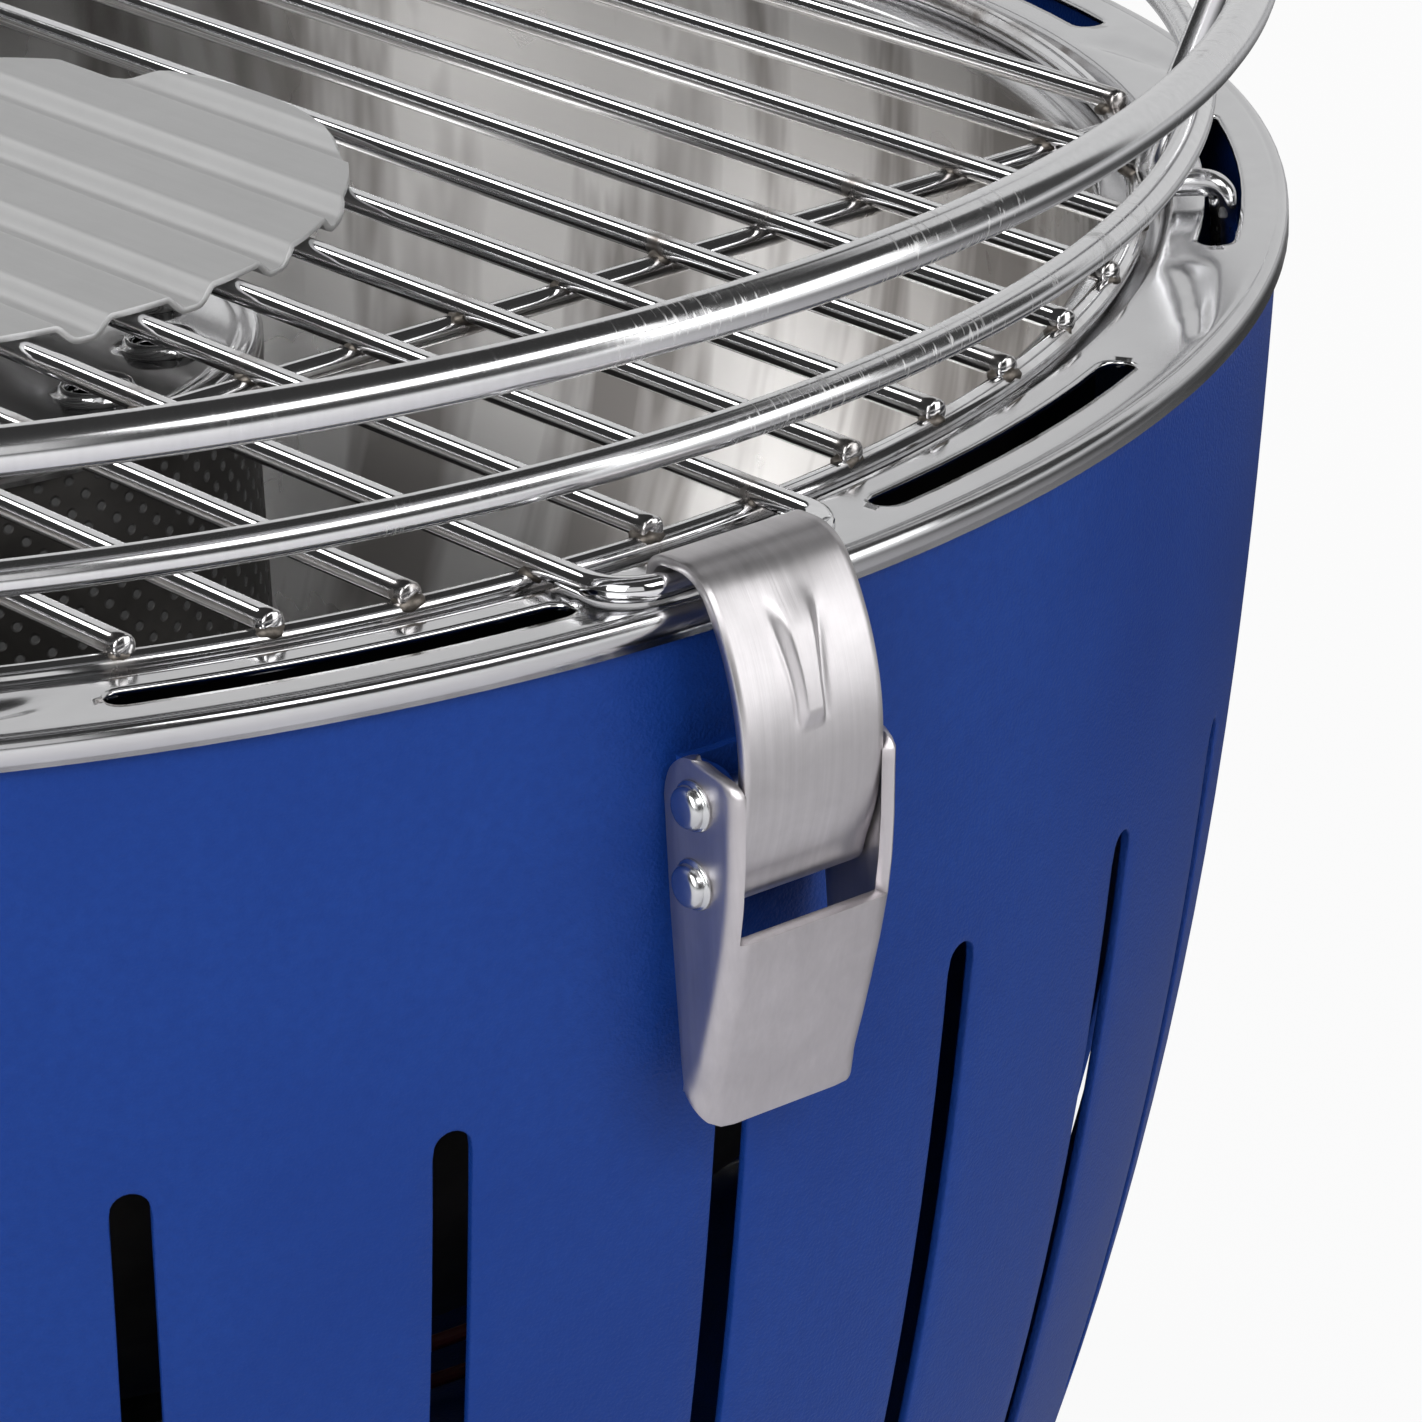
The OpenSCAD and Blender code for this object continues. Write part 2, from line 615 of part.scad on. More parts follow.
module charcoal_basket() color([0.66, 0.66, 0.68]) difference() {
    wall_in_r = basket_r - sheet_t;
    translate([0, 0, inner_floor_z]) difference() {
        cylinder(r = basket_r, h = basket_h);
        translate([0, 0, -over]) cylinder(r = wall_in_r, h = basket_h + 2 * over);
    }
    for (row = [1 : basket_rows], i = [0 : basket_hole_n - 1])
        rotate([0, 0, (i + row / 2) * 360 / basket_hole_n])
            translate([wall_in_r - over, 0, basket_floor_z + row * basket_hole_gap]) rotate([0, 90, 0])
                cylinder(r = basket_hole_r, h = sheet_t + 2 * over);
    for (i = [0 : 5])
        rotate([0, 0, 60 * i]) translate([wall_in_r - 2 * over, -8, inner_floor_z + 4]) cube([8, 16, 7]);
}

module basket_floor() color([0.66, 0.66, 0.68]) translate([0, 0, basket_floor_z - sheet_t]) difference() {
    cylinder(r = basket_r - sheet_t - touch, h = sheet_t);
    for (n = [6, 12], i = [0 : n - 1])
        rotate([0, 0, i * 360 / n])
            translate([n * 2.2, 0, -over]) cylinder(r = basket_hole_r, h = sheet_t + 2 * over);
}

module basket_lid() color([0.70, 0.70, 0.72]) difference() {
    union() {
        translate([0, 0, basket_top_z]) cylinder(r = basket_r + 0.6, h = sheet_t);
        translate([0, 0, basket_top_z + sheet_t - lid_skirt_h]) difference() {
            cylinder(r = basket_r + 0.6 + sheet_t, h = lid_skirt_h);
            translate([0, 0, -over]) cylinder(r = basket_r + 0.6, h = lid_skirt_h + 2 * over);
        }
        for (i = [0 : vent_n - 1])
            facing((i + 0.5) * 360 / vent_n) translate([vent_at_r, 0, basket_top_z])
                cylinder(r = vent_r + 1, h = sheet_t + 1.2);
    }
    for (i = [0 : vent_n - 1])
        facing((i + 0.5) * 360 / vent_n) translate([vent_at_r, 0, basket_top_z - over])
            cylinder(r = vent_r, h = 4);
}

// ---------------------------------------------------------------- grate

module round_bar(x, y0, y1, z) translate([x, y0, z]) rotate([-90, 0, 0]) cylinder(r = wire_r, h = y1 - y0);
function bar_half(x) = sqrt(bar_end_r * bar_end_r - x * x);

module grate_bars() color([0.80, 0.80, 0.82]) {
    for (k = [-bar_side_n : bar_side_n])
        if (abs(k) != 1) round_bar(k * bar_pitch, -bar_half(k * bar_pitch), bar_half(k * bar_pitch), bar_z);
}

// Two bars joined at both ends by a cross wire that the claws hook over
module grate_loop() color([0.80, 0.80, 0.82]) {
    corner_y = loop_y - loop_corner_r;
    corner_x = bar_pitch - loop_corner_r;
    for (side = [-1, 1]) round_bar(side * bar_pitch, -corner_y, corner_y, bar_z);
    for (end = [0, 180]) rotate([0, 0, end]) {
        translate([-corner_x, -loop_y, bar_z]) rotate([0, 90, 0]) cylinder(r = wire_r, h = 2 * corner_x);
        translate([corner_x, -corner_y, bar_z]) rotate([0, 0, -90])
            rotate_extrude(angle = 90) translate([loop_corner_r, 0]) circle(wire_r);
        translate([-corner_x, -corner_y, bar_z]) rotate([0, 0, 180])
            rotate_extrude(angle = 90) translate([loop_corner_r, 0]) circle(wire_r);
    }
}

module grate_ring() color([0.80, 0.80, 0.82]) translate([0, 0, ring_z]) torus(ring_r, wire_r);

module grate_cross_rods() color([0.80, 0.80, 0.82])
    for (y = [-cross_rod_y, cross_rod_y])
        translate([0, y, ring_z]) rotate([0, 90, 0])
            cylinder(r = wire_r, h = 2 * sqrt(ring_r * ring_r - y * y), center = true);

// One post, from the upper rail down through a slot of the flange
module rail_post() {
    top_r = rail_top_r - rail_top_d / 2 - post_r + rail_weld;
    mid_r = rail_low_r - rail_low_d / 2 - post_r + rail_weld;
    foot_z = rim_z + post_r + 0.9;
    foot_in_r = ring_r + 1.2;
    wire_path([[top_r + 0.4, 0, rail_top_z + 1.2], [mid_r, 0, rail_low_z], [foot_in_r + 0.6, 0, foot_z + 4],
        [foot_in_r, 0, foot_z + 1.4], [foot_in_r + 1, 0, foot_z], [rim_slot_r - 1.6, 0, foot_z],
        [rim_slot_r - 0.4, 0, foot_z - 0.8], [rim_slot_r, 0, foot_z - 2.4],
        [rim_slot_r, 0, rim_z - 8]], post_r);
}

module rail_posts() color([0.80, 0.80, 0.82])
    for (a = [post_front_a, post_rear_a, -post_rear_a, -post_front_a]) facing(a) rail_post();

module rail_lower() color([0.80, 0.80, 0.82]) translate([0, 0, rail_low_z]) torus(rail_low_r, rail_low_d / 2);
module rail_upper() color([0.80, 0.80, 0.82]) translate([0, 0, rail_top_z]) torus(rail_top_r, rail_top_d / 2);

// Corrugated plate: a crest over each bar, a groove between two bars
module centre_plate() color([0.76, 0.76, 0.77]) intersection() {
    half_n = ceil(plate_r / bar_pitch);
    path = [for (k = [-half_n : half_n], p = [[-0.5, -1], [-0.42, -1], [-0.28, 0], [0.28, 0], [0.42, -1]])
        [(k + p[0]) * bar_pitch, plate_under_z + p[1] * groove_h]];
    rotate([90, 0, 0]) linear_extrude(2 * plate_r + 2 * over, center = true) polygon(sheet(path, plate_t));
    cylinder(r = plate_r, h = 2 * rim_z);
}

// ---------------------------------------------------------------- latches

// A flat outline in the side view, w wide across the latch
module slab(w) rotate([90, 0, -90]) linear_extrude(w, center = true) children();
module cross_pin(q, z, r, w) rotate([90, 0, -90]) translate([q, z, 0]) cylinder(r = r, h = w, center = true);
module rear() rotate([0, 0, 180]) children();

// Two ears and a web between them, cut to the bowl's wall behind
module latch_bracket() color([0.10, 0.19, 0.48]) difference() {
    round_r = 3.8;
    low_z = pivot_z - round_r;
    web_q = pivot_q - rivet_r - 1.6;
    slab(bracket_w) polygon(concat(arc(pivot_q, pivot_z, round_r, -90, 90, 12),
        [[bowl_r - 14, pivot_z + round_r], [bowl_r - 14, low_z]]));
    slab(bracket_w - 2 * bracket_t)
        translate([web_q, low_z - over]) square([20, 2 * round_r + 2 * over]);
    cross_pin(pivot_q, pivot_z, rivet_r + pin_play, lever_w);
    translate([0, 0, low_z - over])
        cylinder(r1 = wall_r(low_z - over) + touch, r2 = wall_r(low_z + 2 * round_r + over) + touch,
            h = 2 * round_r + 2 * over, $fn = 360);
}

// Side outline of the lever's ears and plate
module lever_outline() {
    plate_q = pivot_q + 6.3;
    low_q = pivot_q - 3;
    polygon(concat(
        arc(pivot_q, pivot_z, ear_r, 180, 80, 8),
        [[pivot_q + 7.6, pivot_z + 3.4], [pivot_q + 8.1, pivot_z + 2.6],
         [plate_q, rim_z - plate_top_drop], [plate_q - 3.2, rim_z - plate_top_drop - 11],
         [low_q, rim_z - plate_low_drop], [low_q - 1.2, rim_z - plate_low_drop],
         [low_q - 1.6, rim_z - plate_low_drop + 2], [pivot_q - ear_r, pin_z - 4]]));
}

module lever_inside() {
    plate_q = pivot_q + 6.3 - lever_t;
    low_q = pivot_q - 3 - lever_t;
    polygon([[pivot_q - 20, rim_z], [pivot_q + 20, rim_z], [pivot_q + 20, rim_z - plate_top_drop],
        [plate_q, rim_z - plate_top_drop], [plate_q - 3.2, rim_z - plate_top_drop - 11],
        [low_q - 0.4, rim_z - plate_low_drop - over], [pivot_q - 20, rim_z - plate_low_drop - over]]);
}

module latch_lever() color([0.66, 0.66, 0.68]) difference() {
    slab(lever_w) lever_outline();
    slab(lever_in_w) lever_inside();
    cross_pin(pivot_q, pivot_z, rivet_r + touch, 2 * lever_w);
    cross_pin(pin_q, pin_z, rivet_r + touch, 2 * lever_w);
    for (side = [-1, 1])
        translate([side * lever_w / 2, -pivot_q, rim_z - plate_low_drop]) rotate([90, 0, 0])
            difference() {
                cube([2 * lever_corner_r, 2 * lever_corner_r, 40], center = true);
                translate([-side * lever_corner_r, lever_corner_r, 0])
                    cylinder(r = lever_corner_r, h = 50, center = true);
            }
}

module rivet(q, z) color([0.74, 0.74, 0.76]) {
    cross_pin(q, z, rivet_r, lever_w + 1);
    rotate([90, 0, -90]) translate([q, z, 0]) for (side = [0, 1]) mirror([0, 0, side]) {
        translate([0, 0, lever_w / 2 + touch]) cylinder(r = rivet_head_r, h = 0.7);
        translate([0, 0, lever_w / 2 + touch + 0.7]) cylinder(r1 = rivet_head_r, r2 = rivet_head_r - 0.5, h = 0.6);
        translate([0, 0, lever_w / 2 + touch + 1.3])
            cylinder(r1 = rivet_head_r - 0.5, r2 = rivet_head_r - 1.6, h = 0.5);
    }
}

// Outside of the claw, from its rolled eye up over the loop's wire to the hook's tip
function claw_path() = concat(
    arc(claw_arc_q, claw_arc_z, claw_arc_r, -30.5, claw_bend_a, 12),
    arc(claw_arc_q + (claw_arc_r - claw_bend_r) * cos(claw_bend_a), hook_top_z - claw_bend_r,
        claw_bend_r, claw_bend_a + 8, 90, 6),
    arc(loop_y, bar_z, hook_out_r, 90, 190, 8));

module latch_claw() color([0.66, 0.66, 0.68]) difference() {
    union() {
        slab(claw_w) polygon(sheet(claw_path(), claw_t));
        cross_pin(pin_q, pin_z, eye_r, claw_w);
    }
    cross_pin(pin_q, pin_z, rivet_r + pin_play, 2 * claw_w);
}

module latch_bracket_front() latch_bracket();
module latch_lever_front() latch_lever();
module pivot_rivet_front() rivet(pivot_q, pivot_z);
module claw_pin_front() rivet(pin_q, pin_z);
module latch_claw_front() latch_claw();
module latch_bracket_rear() rear() latch_bracket();
module latch_lever_rear() rear() latch_lever();
module pivot_rivet_rear() rear() rivet(pivot_q, pivot_z);
module claw_pin_rear() rear() rivet(pin_q, pin_z);
module latch_claw_rear() rear() latch_claw();

outer_bowl();
rubber_feet();
foot_screws();
fan_housing();
housing_screws();
fan_motor();
fan_shaft();
fan_rotor();
fan_cover();
heat_shield();
battery_case();
battery_lid();
battery_cells();
battery_contacts();
switch_bracket();
switch_body();
control_shaft();
knob_bezel();
control_knob();
wiring();
inner_bowl();
ignition_tray();
charcoal_basket();
basket_floor();
basket_lid();
grate_bars();
grate_loop();
grate_ring();
grate_cross_rods();
rail_posts();
rail_lower();
rail_upper();
centre_plate();
latch_bracket_front();
latch_lever_front();
pivot_rivet_front();
claw_pin_front();
latch_claw_front();
latch_bracket_rear();
latch_lever_rear();
pivot_rivet_rear();
claw_pin_rear();
latch_claw_rear();
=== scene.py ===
import math

import bmesh
import bpy
import numpy as np
from mathutils import Matrix, Vector


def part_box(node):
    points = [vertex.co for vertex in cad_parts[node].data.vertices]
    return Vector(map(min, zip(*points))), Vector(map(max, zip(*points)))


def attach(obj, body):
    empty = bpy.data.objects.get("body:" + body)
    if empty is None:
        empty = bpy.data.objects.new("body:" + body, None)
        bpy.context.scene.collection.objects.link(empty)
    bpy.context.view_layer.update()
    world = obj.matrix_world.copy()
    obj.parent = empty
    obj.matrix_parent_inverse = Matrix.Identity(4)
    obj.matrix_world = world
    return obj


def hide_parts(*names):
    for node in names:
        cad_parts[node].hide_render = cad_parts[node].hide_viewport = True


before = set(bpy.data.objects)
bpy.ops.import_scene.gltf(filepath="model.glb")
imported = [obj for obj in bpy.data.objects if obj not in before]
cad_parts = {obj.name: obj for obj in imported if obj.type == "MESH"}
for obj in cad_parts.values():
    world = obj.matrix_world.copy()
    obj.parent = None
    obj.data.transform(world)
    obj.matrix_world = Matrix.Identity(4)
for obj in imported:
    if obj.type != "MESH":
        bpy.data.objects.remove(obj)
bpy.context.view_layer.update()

# ---------------------------------------------------------------- camera
# A long lens from the front left, a little above the rim. The place, the turn and the lens
# were found by fitting the two rails, the ring and the bars to the photograph.
CAMERA_AT = Vector((-0.4571, -0.7668, 0.4851))
LENS_MM = 189.64
YAW, PITCH, ROLL = (math.radians(angle) for angle in (37.282, 21.754, -3.018))

forward = Vector(
    (math.sin(YAW) * math.cos(PITCH), math.cos(YAW) * math.cos(PITCH), -math.sin(PITCH))
)
level_right = Vector((math.cos(YAW), -math.sin(YAW), 0))
level_up = level_right.cross(forward)
right = math.cos(ROLL) * level_right + math.sin(ROLL) * level_up
up = -math.sin(ROLL) * level_right + math.cos(ROLL) * level_up

camera = bpy.data.objects.new("camera", bpy.data.cameras.new("camera"))
camera.data.lens = LENS_MM
camera.matrix_world = Matrix.Translation(CAMERA_AT) @ Matrix(
    (right, up, -forward)
).transposed().to_4x4()
bpy.context.collection.objects.link(camera)
bpy.context.scene.camera = camera
bpy.context.scene.view_settings.view_transform = "Standard"


# ---------------------------------------------------------------- floor and light
# A plain white table top under soft boxes, which keeps the shadow. The camera sees it nearly
# white, and polished surfaces see a painted dark patch of it at the right, close to the grill:
# painted shade that is there in reflections only.
FLOOR_HALF = 6.0
FLOOR_COLOUR, NEAR_FLOOR = (0.86, 0.86, 0.86, 1), (0.84, 0.83, 0.84, 1)
PAINTED_SHADE_PATCH = (0.10, 0.10, 0.10, 1)
DARK_FROM_X, DARK_TO_X = 0.06, 0.42
PATCH_NEAR, PATCH_FAR = 0.55, 0.95
FLOOR_GLOW, SCREEN_GLOW = 0.93, 0.72
ROOM_LIGHT, ROOM_MIRRORED = (0.33, 0.33, 0.34, 1), (0.04, 0.04, 0.04, 1)
LAMPS_AIM = Vector((0, 0, 0.15))


def node(tree, kind, sockets=None, **settings):
    """New shader node. A socket given as a value is linked, any other value is set."""
    made = tree.nodes.new("ShaderNode" + kind)
    for key, value in settings.items():
        setattr(made, key, value)
    for key, value in (sockets or {}).items():
        if isinstance(value, bpy.types.NodeSocket):
            tree.links.new(value, made.inputs[key])
        else:
            made.inputs[key].default_value = value
    return made


def empty_material(name):
    made = bpy.data.materials.new(name)
    made.use_nodes = True
    made.node_tree.nodes.clear()
    return made, made.node_tree


floor_material, tree = empty_material("white_table")
path = node(tree, "LightPath")
glow = node(tree, "Math", {0: path.outputs["Is Camera Ray"], 1: FLOOR_GLOW},
            operation="MULTIPLY")
spot = node(tree, "TexCoord").outputs["Object"]
to_right = node(tree, "MapRange", {"Value": node(tree, "SeparateXYZ", {0: spot}).outputs[0],
                                   "From Min": DARK_FROM_X, "From Max": DARK_TO_X})
away = node(tree, "MapRange", {"Value": node(tree, "VectorMath", {0: spot},
                                             operation="LENGTH").outputs["Value"],
                               "From Min": PATCH_NEAR, "From Max": PATCH_FAR})
# Painted shade in reflections: glossy rays see the floor dark at the grill's right, close to it.
near = node(tree, "MixRGB", {"Fac": to_right.outputs[0], "Color1": NEAR_FLOOR,
                             "Color2": PAINTED_SHADE_PATCH})
seen = node(tree, "MixRGB", {"Fac": away.outputs[0], "Color1": near.outputs[0],
                             "Color2": FLOOR_COLOUR})
table = node(tree, "MixRGB", {"Fac": path.outputs["Is Glossy Ray"], "Color1": FLOOR_COLOUR,
                              "Color2": seen.outputs[0]})
lit = node(tree, "BsdfDiffuse", {"Color": table.outputs[0]})
white = node(tree, "Emission", {"Color": (1, 1, 1, 1), "Strength": 1.0})
both = node(tree, "MixShader", {0: glow.outputs[0], 1: lit.outputs[0], 2: white.outputs[0]})
node(tree, "OutputMaterial", {"Surface": both.outputs[0]})

floor_mesh = bpy.data.meshes.new("floor")
floor_mesh.from_pydata(
    [(-FLOOR_HALF, -FLOOR_HALF, 0), (FLOOR_HALF, -FLOOR_HALF, 0), (FLOOR_HALF, FLOOR_HALF, 0),
     (-FLOOR_HALF, FLOOR_HALF, 0)],
    [], [(0, 1, 2, 3)])
floor_mesh.materials.append(floor_material)
floor = bpy.data.objects.new("floor", floor_mesh)
bpy.context.collection.objects.link(floor)

# Pale screens behind the grill, at its right and behind the camera, seen in reflections only.
screen_material, tree = empty_material("pale_screen")
mirrored = node(tree, "LightPath").outputs["Is Glossy Ray"]
clear = node(tree, "BsdfTransparent")
white = node(tree, "Emission", {"Color": (1, 1, 1, 1), "Strength": SCREEN_GLOW})
both = node(tree, "MixShader", {0: mirrored, 1: clear.outputs[0], 2: white.outputs[0]})
node(tree, "OutputMaterial", {"Surface": both.outputs[0]})


def pale_screen(name, start, end, low, high):
    """An upright sheet between two places on the floor."""
    mesh = bpy.data.meshes.new(name)
    mesh.from_pydata([(*start, low), (*end, low), (*end, high), (*start, high)], [],
                     [(0, 1, 2, 3)])
    mesh.materials.append(screen_material)
    screen = bpy.data.objects.new(name, mesh)
    bpy.context.collection.objects.link(screen)


pale_screen("screen_behind", (-1.2, 3.4), (3.4, -0.2), 0.0, 1.85)
pale_screen("screen_right", (1.9, 0.9), (2.1, -0.5), 0.0, 2.5)
pale_screen("screen_at_camera", (-2.7, -0.9), (-0.9, -2.7), 0.35, 2.1)

world = bpy.data.worlds.new("studio")
world.use_nodes = True
tree = world.node_tree
tree.nodes.clear()
path = node(tree, "LightPath")
dark_room = node(tree, "MixRGB", {"Fac": path.outputs["Is Glossy Ray"],
                                  "Color1": ROOM_LIGHT, "Color2": ROOM_MIRRORED})
room = node(tree, "MixRGB", {"Fac": path.outputs["Is Camera Ray"], "Color1": dark_room.outputs[0],
                             "Color2": (1, 1, 1, 1)})
node(tree, "OutputWorld",
     {"Surface": node(tree, "Background", {"Color": room.outputs[0]}).outputs[0]})
bpy.context.scene.world = world


def soft_box(name, place, width, height, power):
    """A lamp turned to the grill: width and height in metres, power in watts."""
    lamp = bpy.data.objects.new(name, bpy.data.lights.new(name, "AREA"))
    lamp.data.shape = "RECTANGLE"
    lamp.data.size, lamp.data.size_y, lamp.data.energy = width, height, power
    lamp.location = place
    lamp.rotation_euler = (LAMPS_AIM - Vector(place)).to_track_quat("-Z", "Y").to_euler()
    bpy.context.collection.objects.link(lamp)


soft_box("box_left", (-1.35, -0.75, 1.05), 0.9, 1.3, 19)
soft_box("box_front", (0.30, -1.55, 1.35), 1.2, 0.7, 11)
soft_box("box_rear", (-0.35, 1.63, 1.63), 0.5, 0.4, 5)
soft_box("box_right", (0.95, -1.30, 0.42), 0.7, 0.75, 4.2)


# ---------------------------------------------------------------- painted outer bowl
# A deep drawn steel bowl, 1.2 mm thick, with 29 upright air slots. It is powder coated blue
# inside and out, with a fine orange peel. It stands on four rubber feet.
MM = 0.001
RIM_Z = 201.0
BOWL_TOP_Z = 200.2
BOWL_R = 174.2
BOWL_DRAW = 37.4
BOWL_T = 1.2
TURN_Z, FLOOR_UNDER_Z = 26.0, 8.0
TURN_X, TURN_R, TURN_A = 110.0, 28.9, math.radians(22.2)
SLOT_N, SLOT_HALF = 29, 2.3
SLOT_TOP_Z, SLOT_LOW_Z = 144.6, 52.0
SLOT_FADE = 6.0
PAINT_LIT, PAINT_DEEP = (0.010, 0.052, 0.270, 1), (0.005, 0.032, 0.195, 1)


def group(name, inputs, build):
    """Node group with float inputs {name: default}. build(tree, inputs) returns its outputs."""
    made = bpy.data.node_groups.new(name, "ShaderNodeTree")
    for key, default in inputs.items():
        socket = made.interface.new_socket(key, in_out="INPUT", socket_type="NodeSocketFloat")
        socket.default_value = default
    entry = made.nodes.new("NodeGroupInput")
    outputs = build(made, entry.outputs)
    leave = made.nodes.new("NodeGroupOutput")
    for key, source in outputs.items():
        kind = "NodeSocketVector" if key == "Normal" else "NodeSocketFloat"
        made.interface.new_socket(key, in_out="OUTPUT", socket_type=kind)
        made.links.new(source, leave.inputs[key])
    return made


def build_peel(tree, given):
    """Orange peel of a coat or the grain of a moulding: two sizes of bumps in all directions."""
    place = node(tree, "TexCoord").outputs["Object"]
    coarse = node(tree, "TexNoise", {"Vector": place, "Scale": given["Scale"], "Detail": 2.0,
                                     "Roughness": 0.55})
    fine_scale = node(tree, "Math", {0: given["Scale"], 1: 3.1}, operation="MULTIPLY")
    fine = node(tree, "TexNoise", {"Vector": place, "Scale": fine_scale.outputs[0], "Detail": 1.0})
    height = node(tree, "Math", {0: coarse.outputs[0], 1: 0.4, 2: fine.outputs[0]},
                  operation="MULTIPLY_ADD")
    bump = node(tree, "Bump", {"Height": height.outputs[0], "Strength": given["Strength"],
                               "Distance": given["Depth"]})
    return {"Value": coarse.outputs[0], "Normal": bump.outputs[0]}


def build_patina(tree, given):
    """Slow cloudy change over a surface, 0 to 1, as from handling and uneven polish."""
    place = node(tree, "TexCoord").outputs["Object"]
    cloud = node(tree, "TexNoise", {"Vector": place, "Scale": given["Scale"], "Detail": 5.0,
                                    "Roughness": 0.62, "Distortion": 0.4})
    widened = node(tree, "MapRange", {"Value": cloud.outputs[0], "From Min": 0.32,
                                      "From Max": 0.68})
    return {"Value": widened.outputs[0]}


PEEL = group("peel", {"Scale": 700.0, "Strength": 0.4, "Depth": 0.0003}, build_peel)
PATINA = group("patina", {"Scale": 12.0}, build_patina)


def use(tree, node_group, sockets=None):
    made = node(tree, "Group", node_tree=node_group)
    for key, value in (sockets or {}).items():
        made.inputs[key].default_value = value
    return made.outputs


def mixed(tree, share, low, high):
    """A colour between low and high, by share."""
    return node(tree, "MixRGB", {"Fac": share, "Color1": low, "Color2": high}).outputs[0]


def spread(tree, share, low, high):
    """A value between low and high, by share."""
    return node(tree, "MapRange", {"Value": share, "To Min": low, "To Max": high}).outputs[0]


def coat(name, low, high, rough, peel, patina_scale=9.0, specular=0.5):
    """Paint, plastic or rubber: two tones, cloudy roughness and a grain, which is given as
    (scale, strength, depth)."""
    made, tree = empty_material(name)
    cloud = use(tree, PATINA, {"Scale": patina_scale})["Value"]
    skin = use(tree, PEEL, dict(zip(("Scale", "Strength", "Depth"), peel)))
    tone = node(tree, "Math", {0: cloud, 1: skin["Value"]}, operation="MULTIPLY")
    surface = node(tree, "BsdfPrincipled", {
        "Base Color": mixed(tree, tone.outputs[0], low, high),
        "Roughness": spread(tree, cloud, *rough),
        "Specular IOR Level": specular,
        "Normal": skin["Normal"],
    })
    node(tree, "OutputMaterial", {"Surface": surface.outputs[0]})
    return made


def grid(rows, columns, wrap=False, keep=None):
    """Quads of a rows x columns grid of points, as (n, 4) indices. wrap joins the last column
    to the first, and keep is a mask of the quads that stay."""
    row = np.arange(rows - 1)[:, None]
    column = np.arange(columns if wrap else columns - 1)[None, :]
    beside = (column + 1) % columns
    quads = np.stack([row * columns + column, row * columns + beside,
                      (row + 1) * columns + beside, (row + 1) * columns + column], -1)
    return quads.reshape(-1, 4) if keep is None else quads[keep]


def piece(name, parts, material, body, nodes, values=None):
    """One object from (points, quads) pairs in millimetres, with coincident points welded, so
    that seams and poles are closed. values are point attributes {name: one value a point}."""
    points = np.concatenate([p for p, _ in parts])
    starts = np.cumsum([0] + [len(p) for p, _ in parts[:-1]])
    quads = np.concatenate([q + first for (_, q), first in zip(parts, starts)])
    mesh = bpy.data.meshes.new(name)
    mesh.from_pydata((points * MM).tolist(), [], quads.tolist())
    for key, value in (values or {}).items():
        mesh.attributes.new(key, "FLOAT", "POINT").data.foreach_set(
            "value", np.asarray(value, np.float32))
    work = bmesh.new()
    work.from_mesh(mesh)
    bmesh.ops.remove_doubles(work, verts=work.verts, dist=1e-6)
    work.to_mesh(mesh)
    work.free()
    mesh.polygons.foreach_set("use_smooth", [True] * len(mesh.polygons))
    mesh.materials.append(material)
    made = bpy.data.objects.new(name, mesh)
    bpy.context.collection.objects.link(made)
    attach(made, body)
    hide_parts(*nodes)
    return made


def thicken(made, thickness, bevel=0.0, steps=1):
    """Gives a sheet its thickness behind its face, and small rounded edges, in millimetres."""
    shell = made.modifiers.new("thickness", "SOLIDIFY")
    shell.thickness, shell.offset, shell.use_even_offset = thickness * MM, -1, False
    if bevel:
        edge = made.modifiers.new("edges", "BEVEL")
        edge.width, edge.segments, edge.limit_method = bevel * MM, steps, "ANGLE"
        edge.angle_limit = math.radians(50)
        edge.harden_normals = False


def wall_radius(z):
    """Outside radius of the wall at height z: r = 174.2 - 37.4 (0.418 s + 0.263 s^2 + 0.319 s^3),
    s from 0 at the top edge to 1 at the turn."""
    s = (BOWL_TOP_Z - z) / (BOWL_TOP_Z - TURN_Z)
    return BOWL_R - BOWL_DRAW * (0.418 * s + 0.263 * s**2 + 0.319 * s**3)


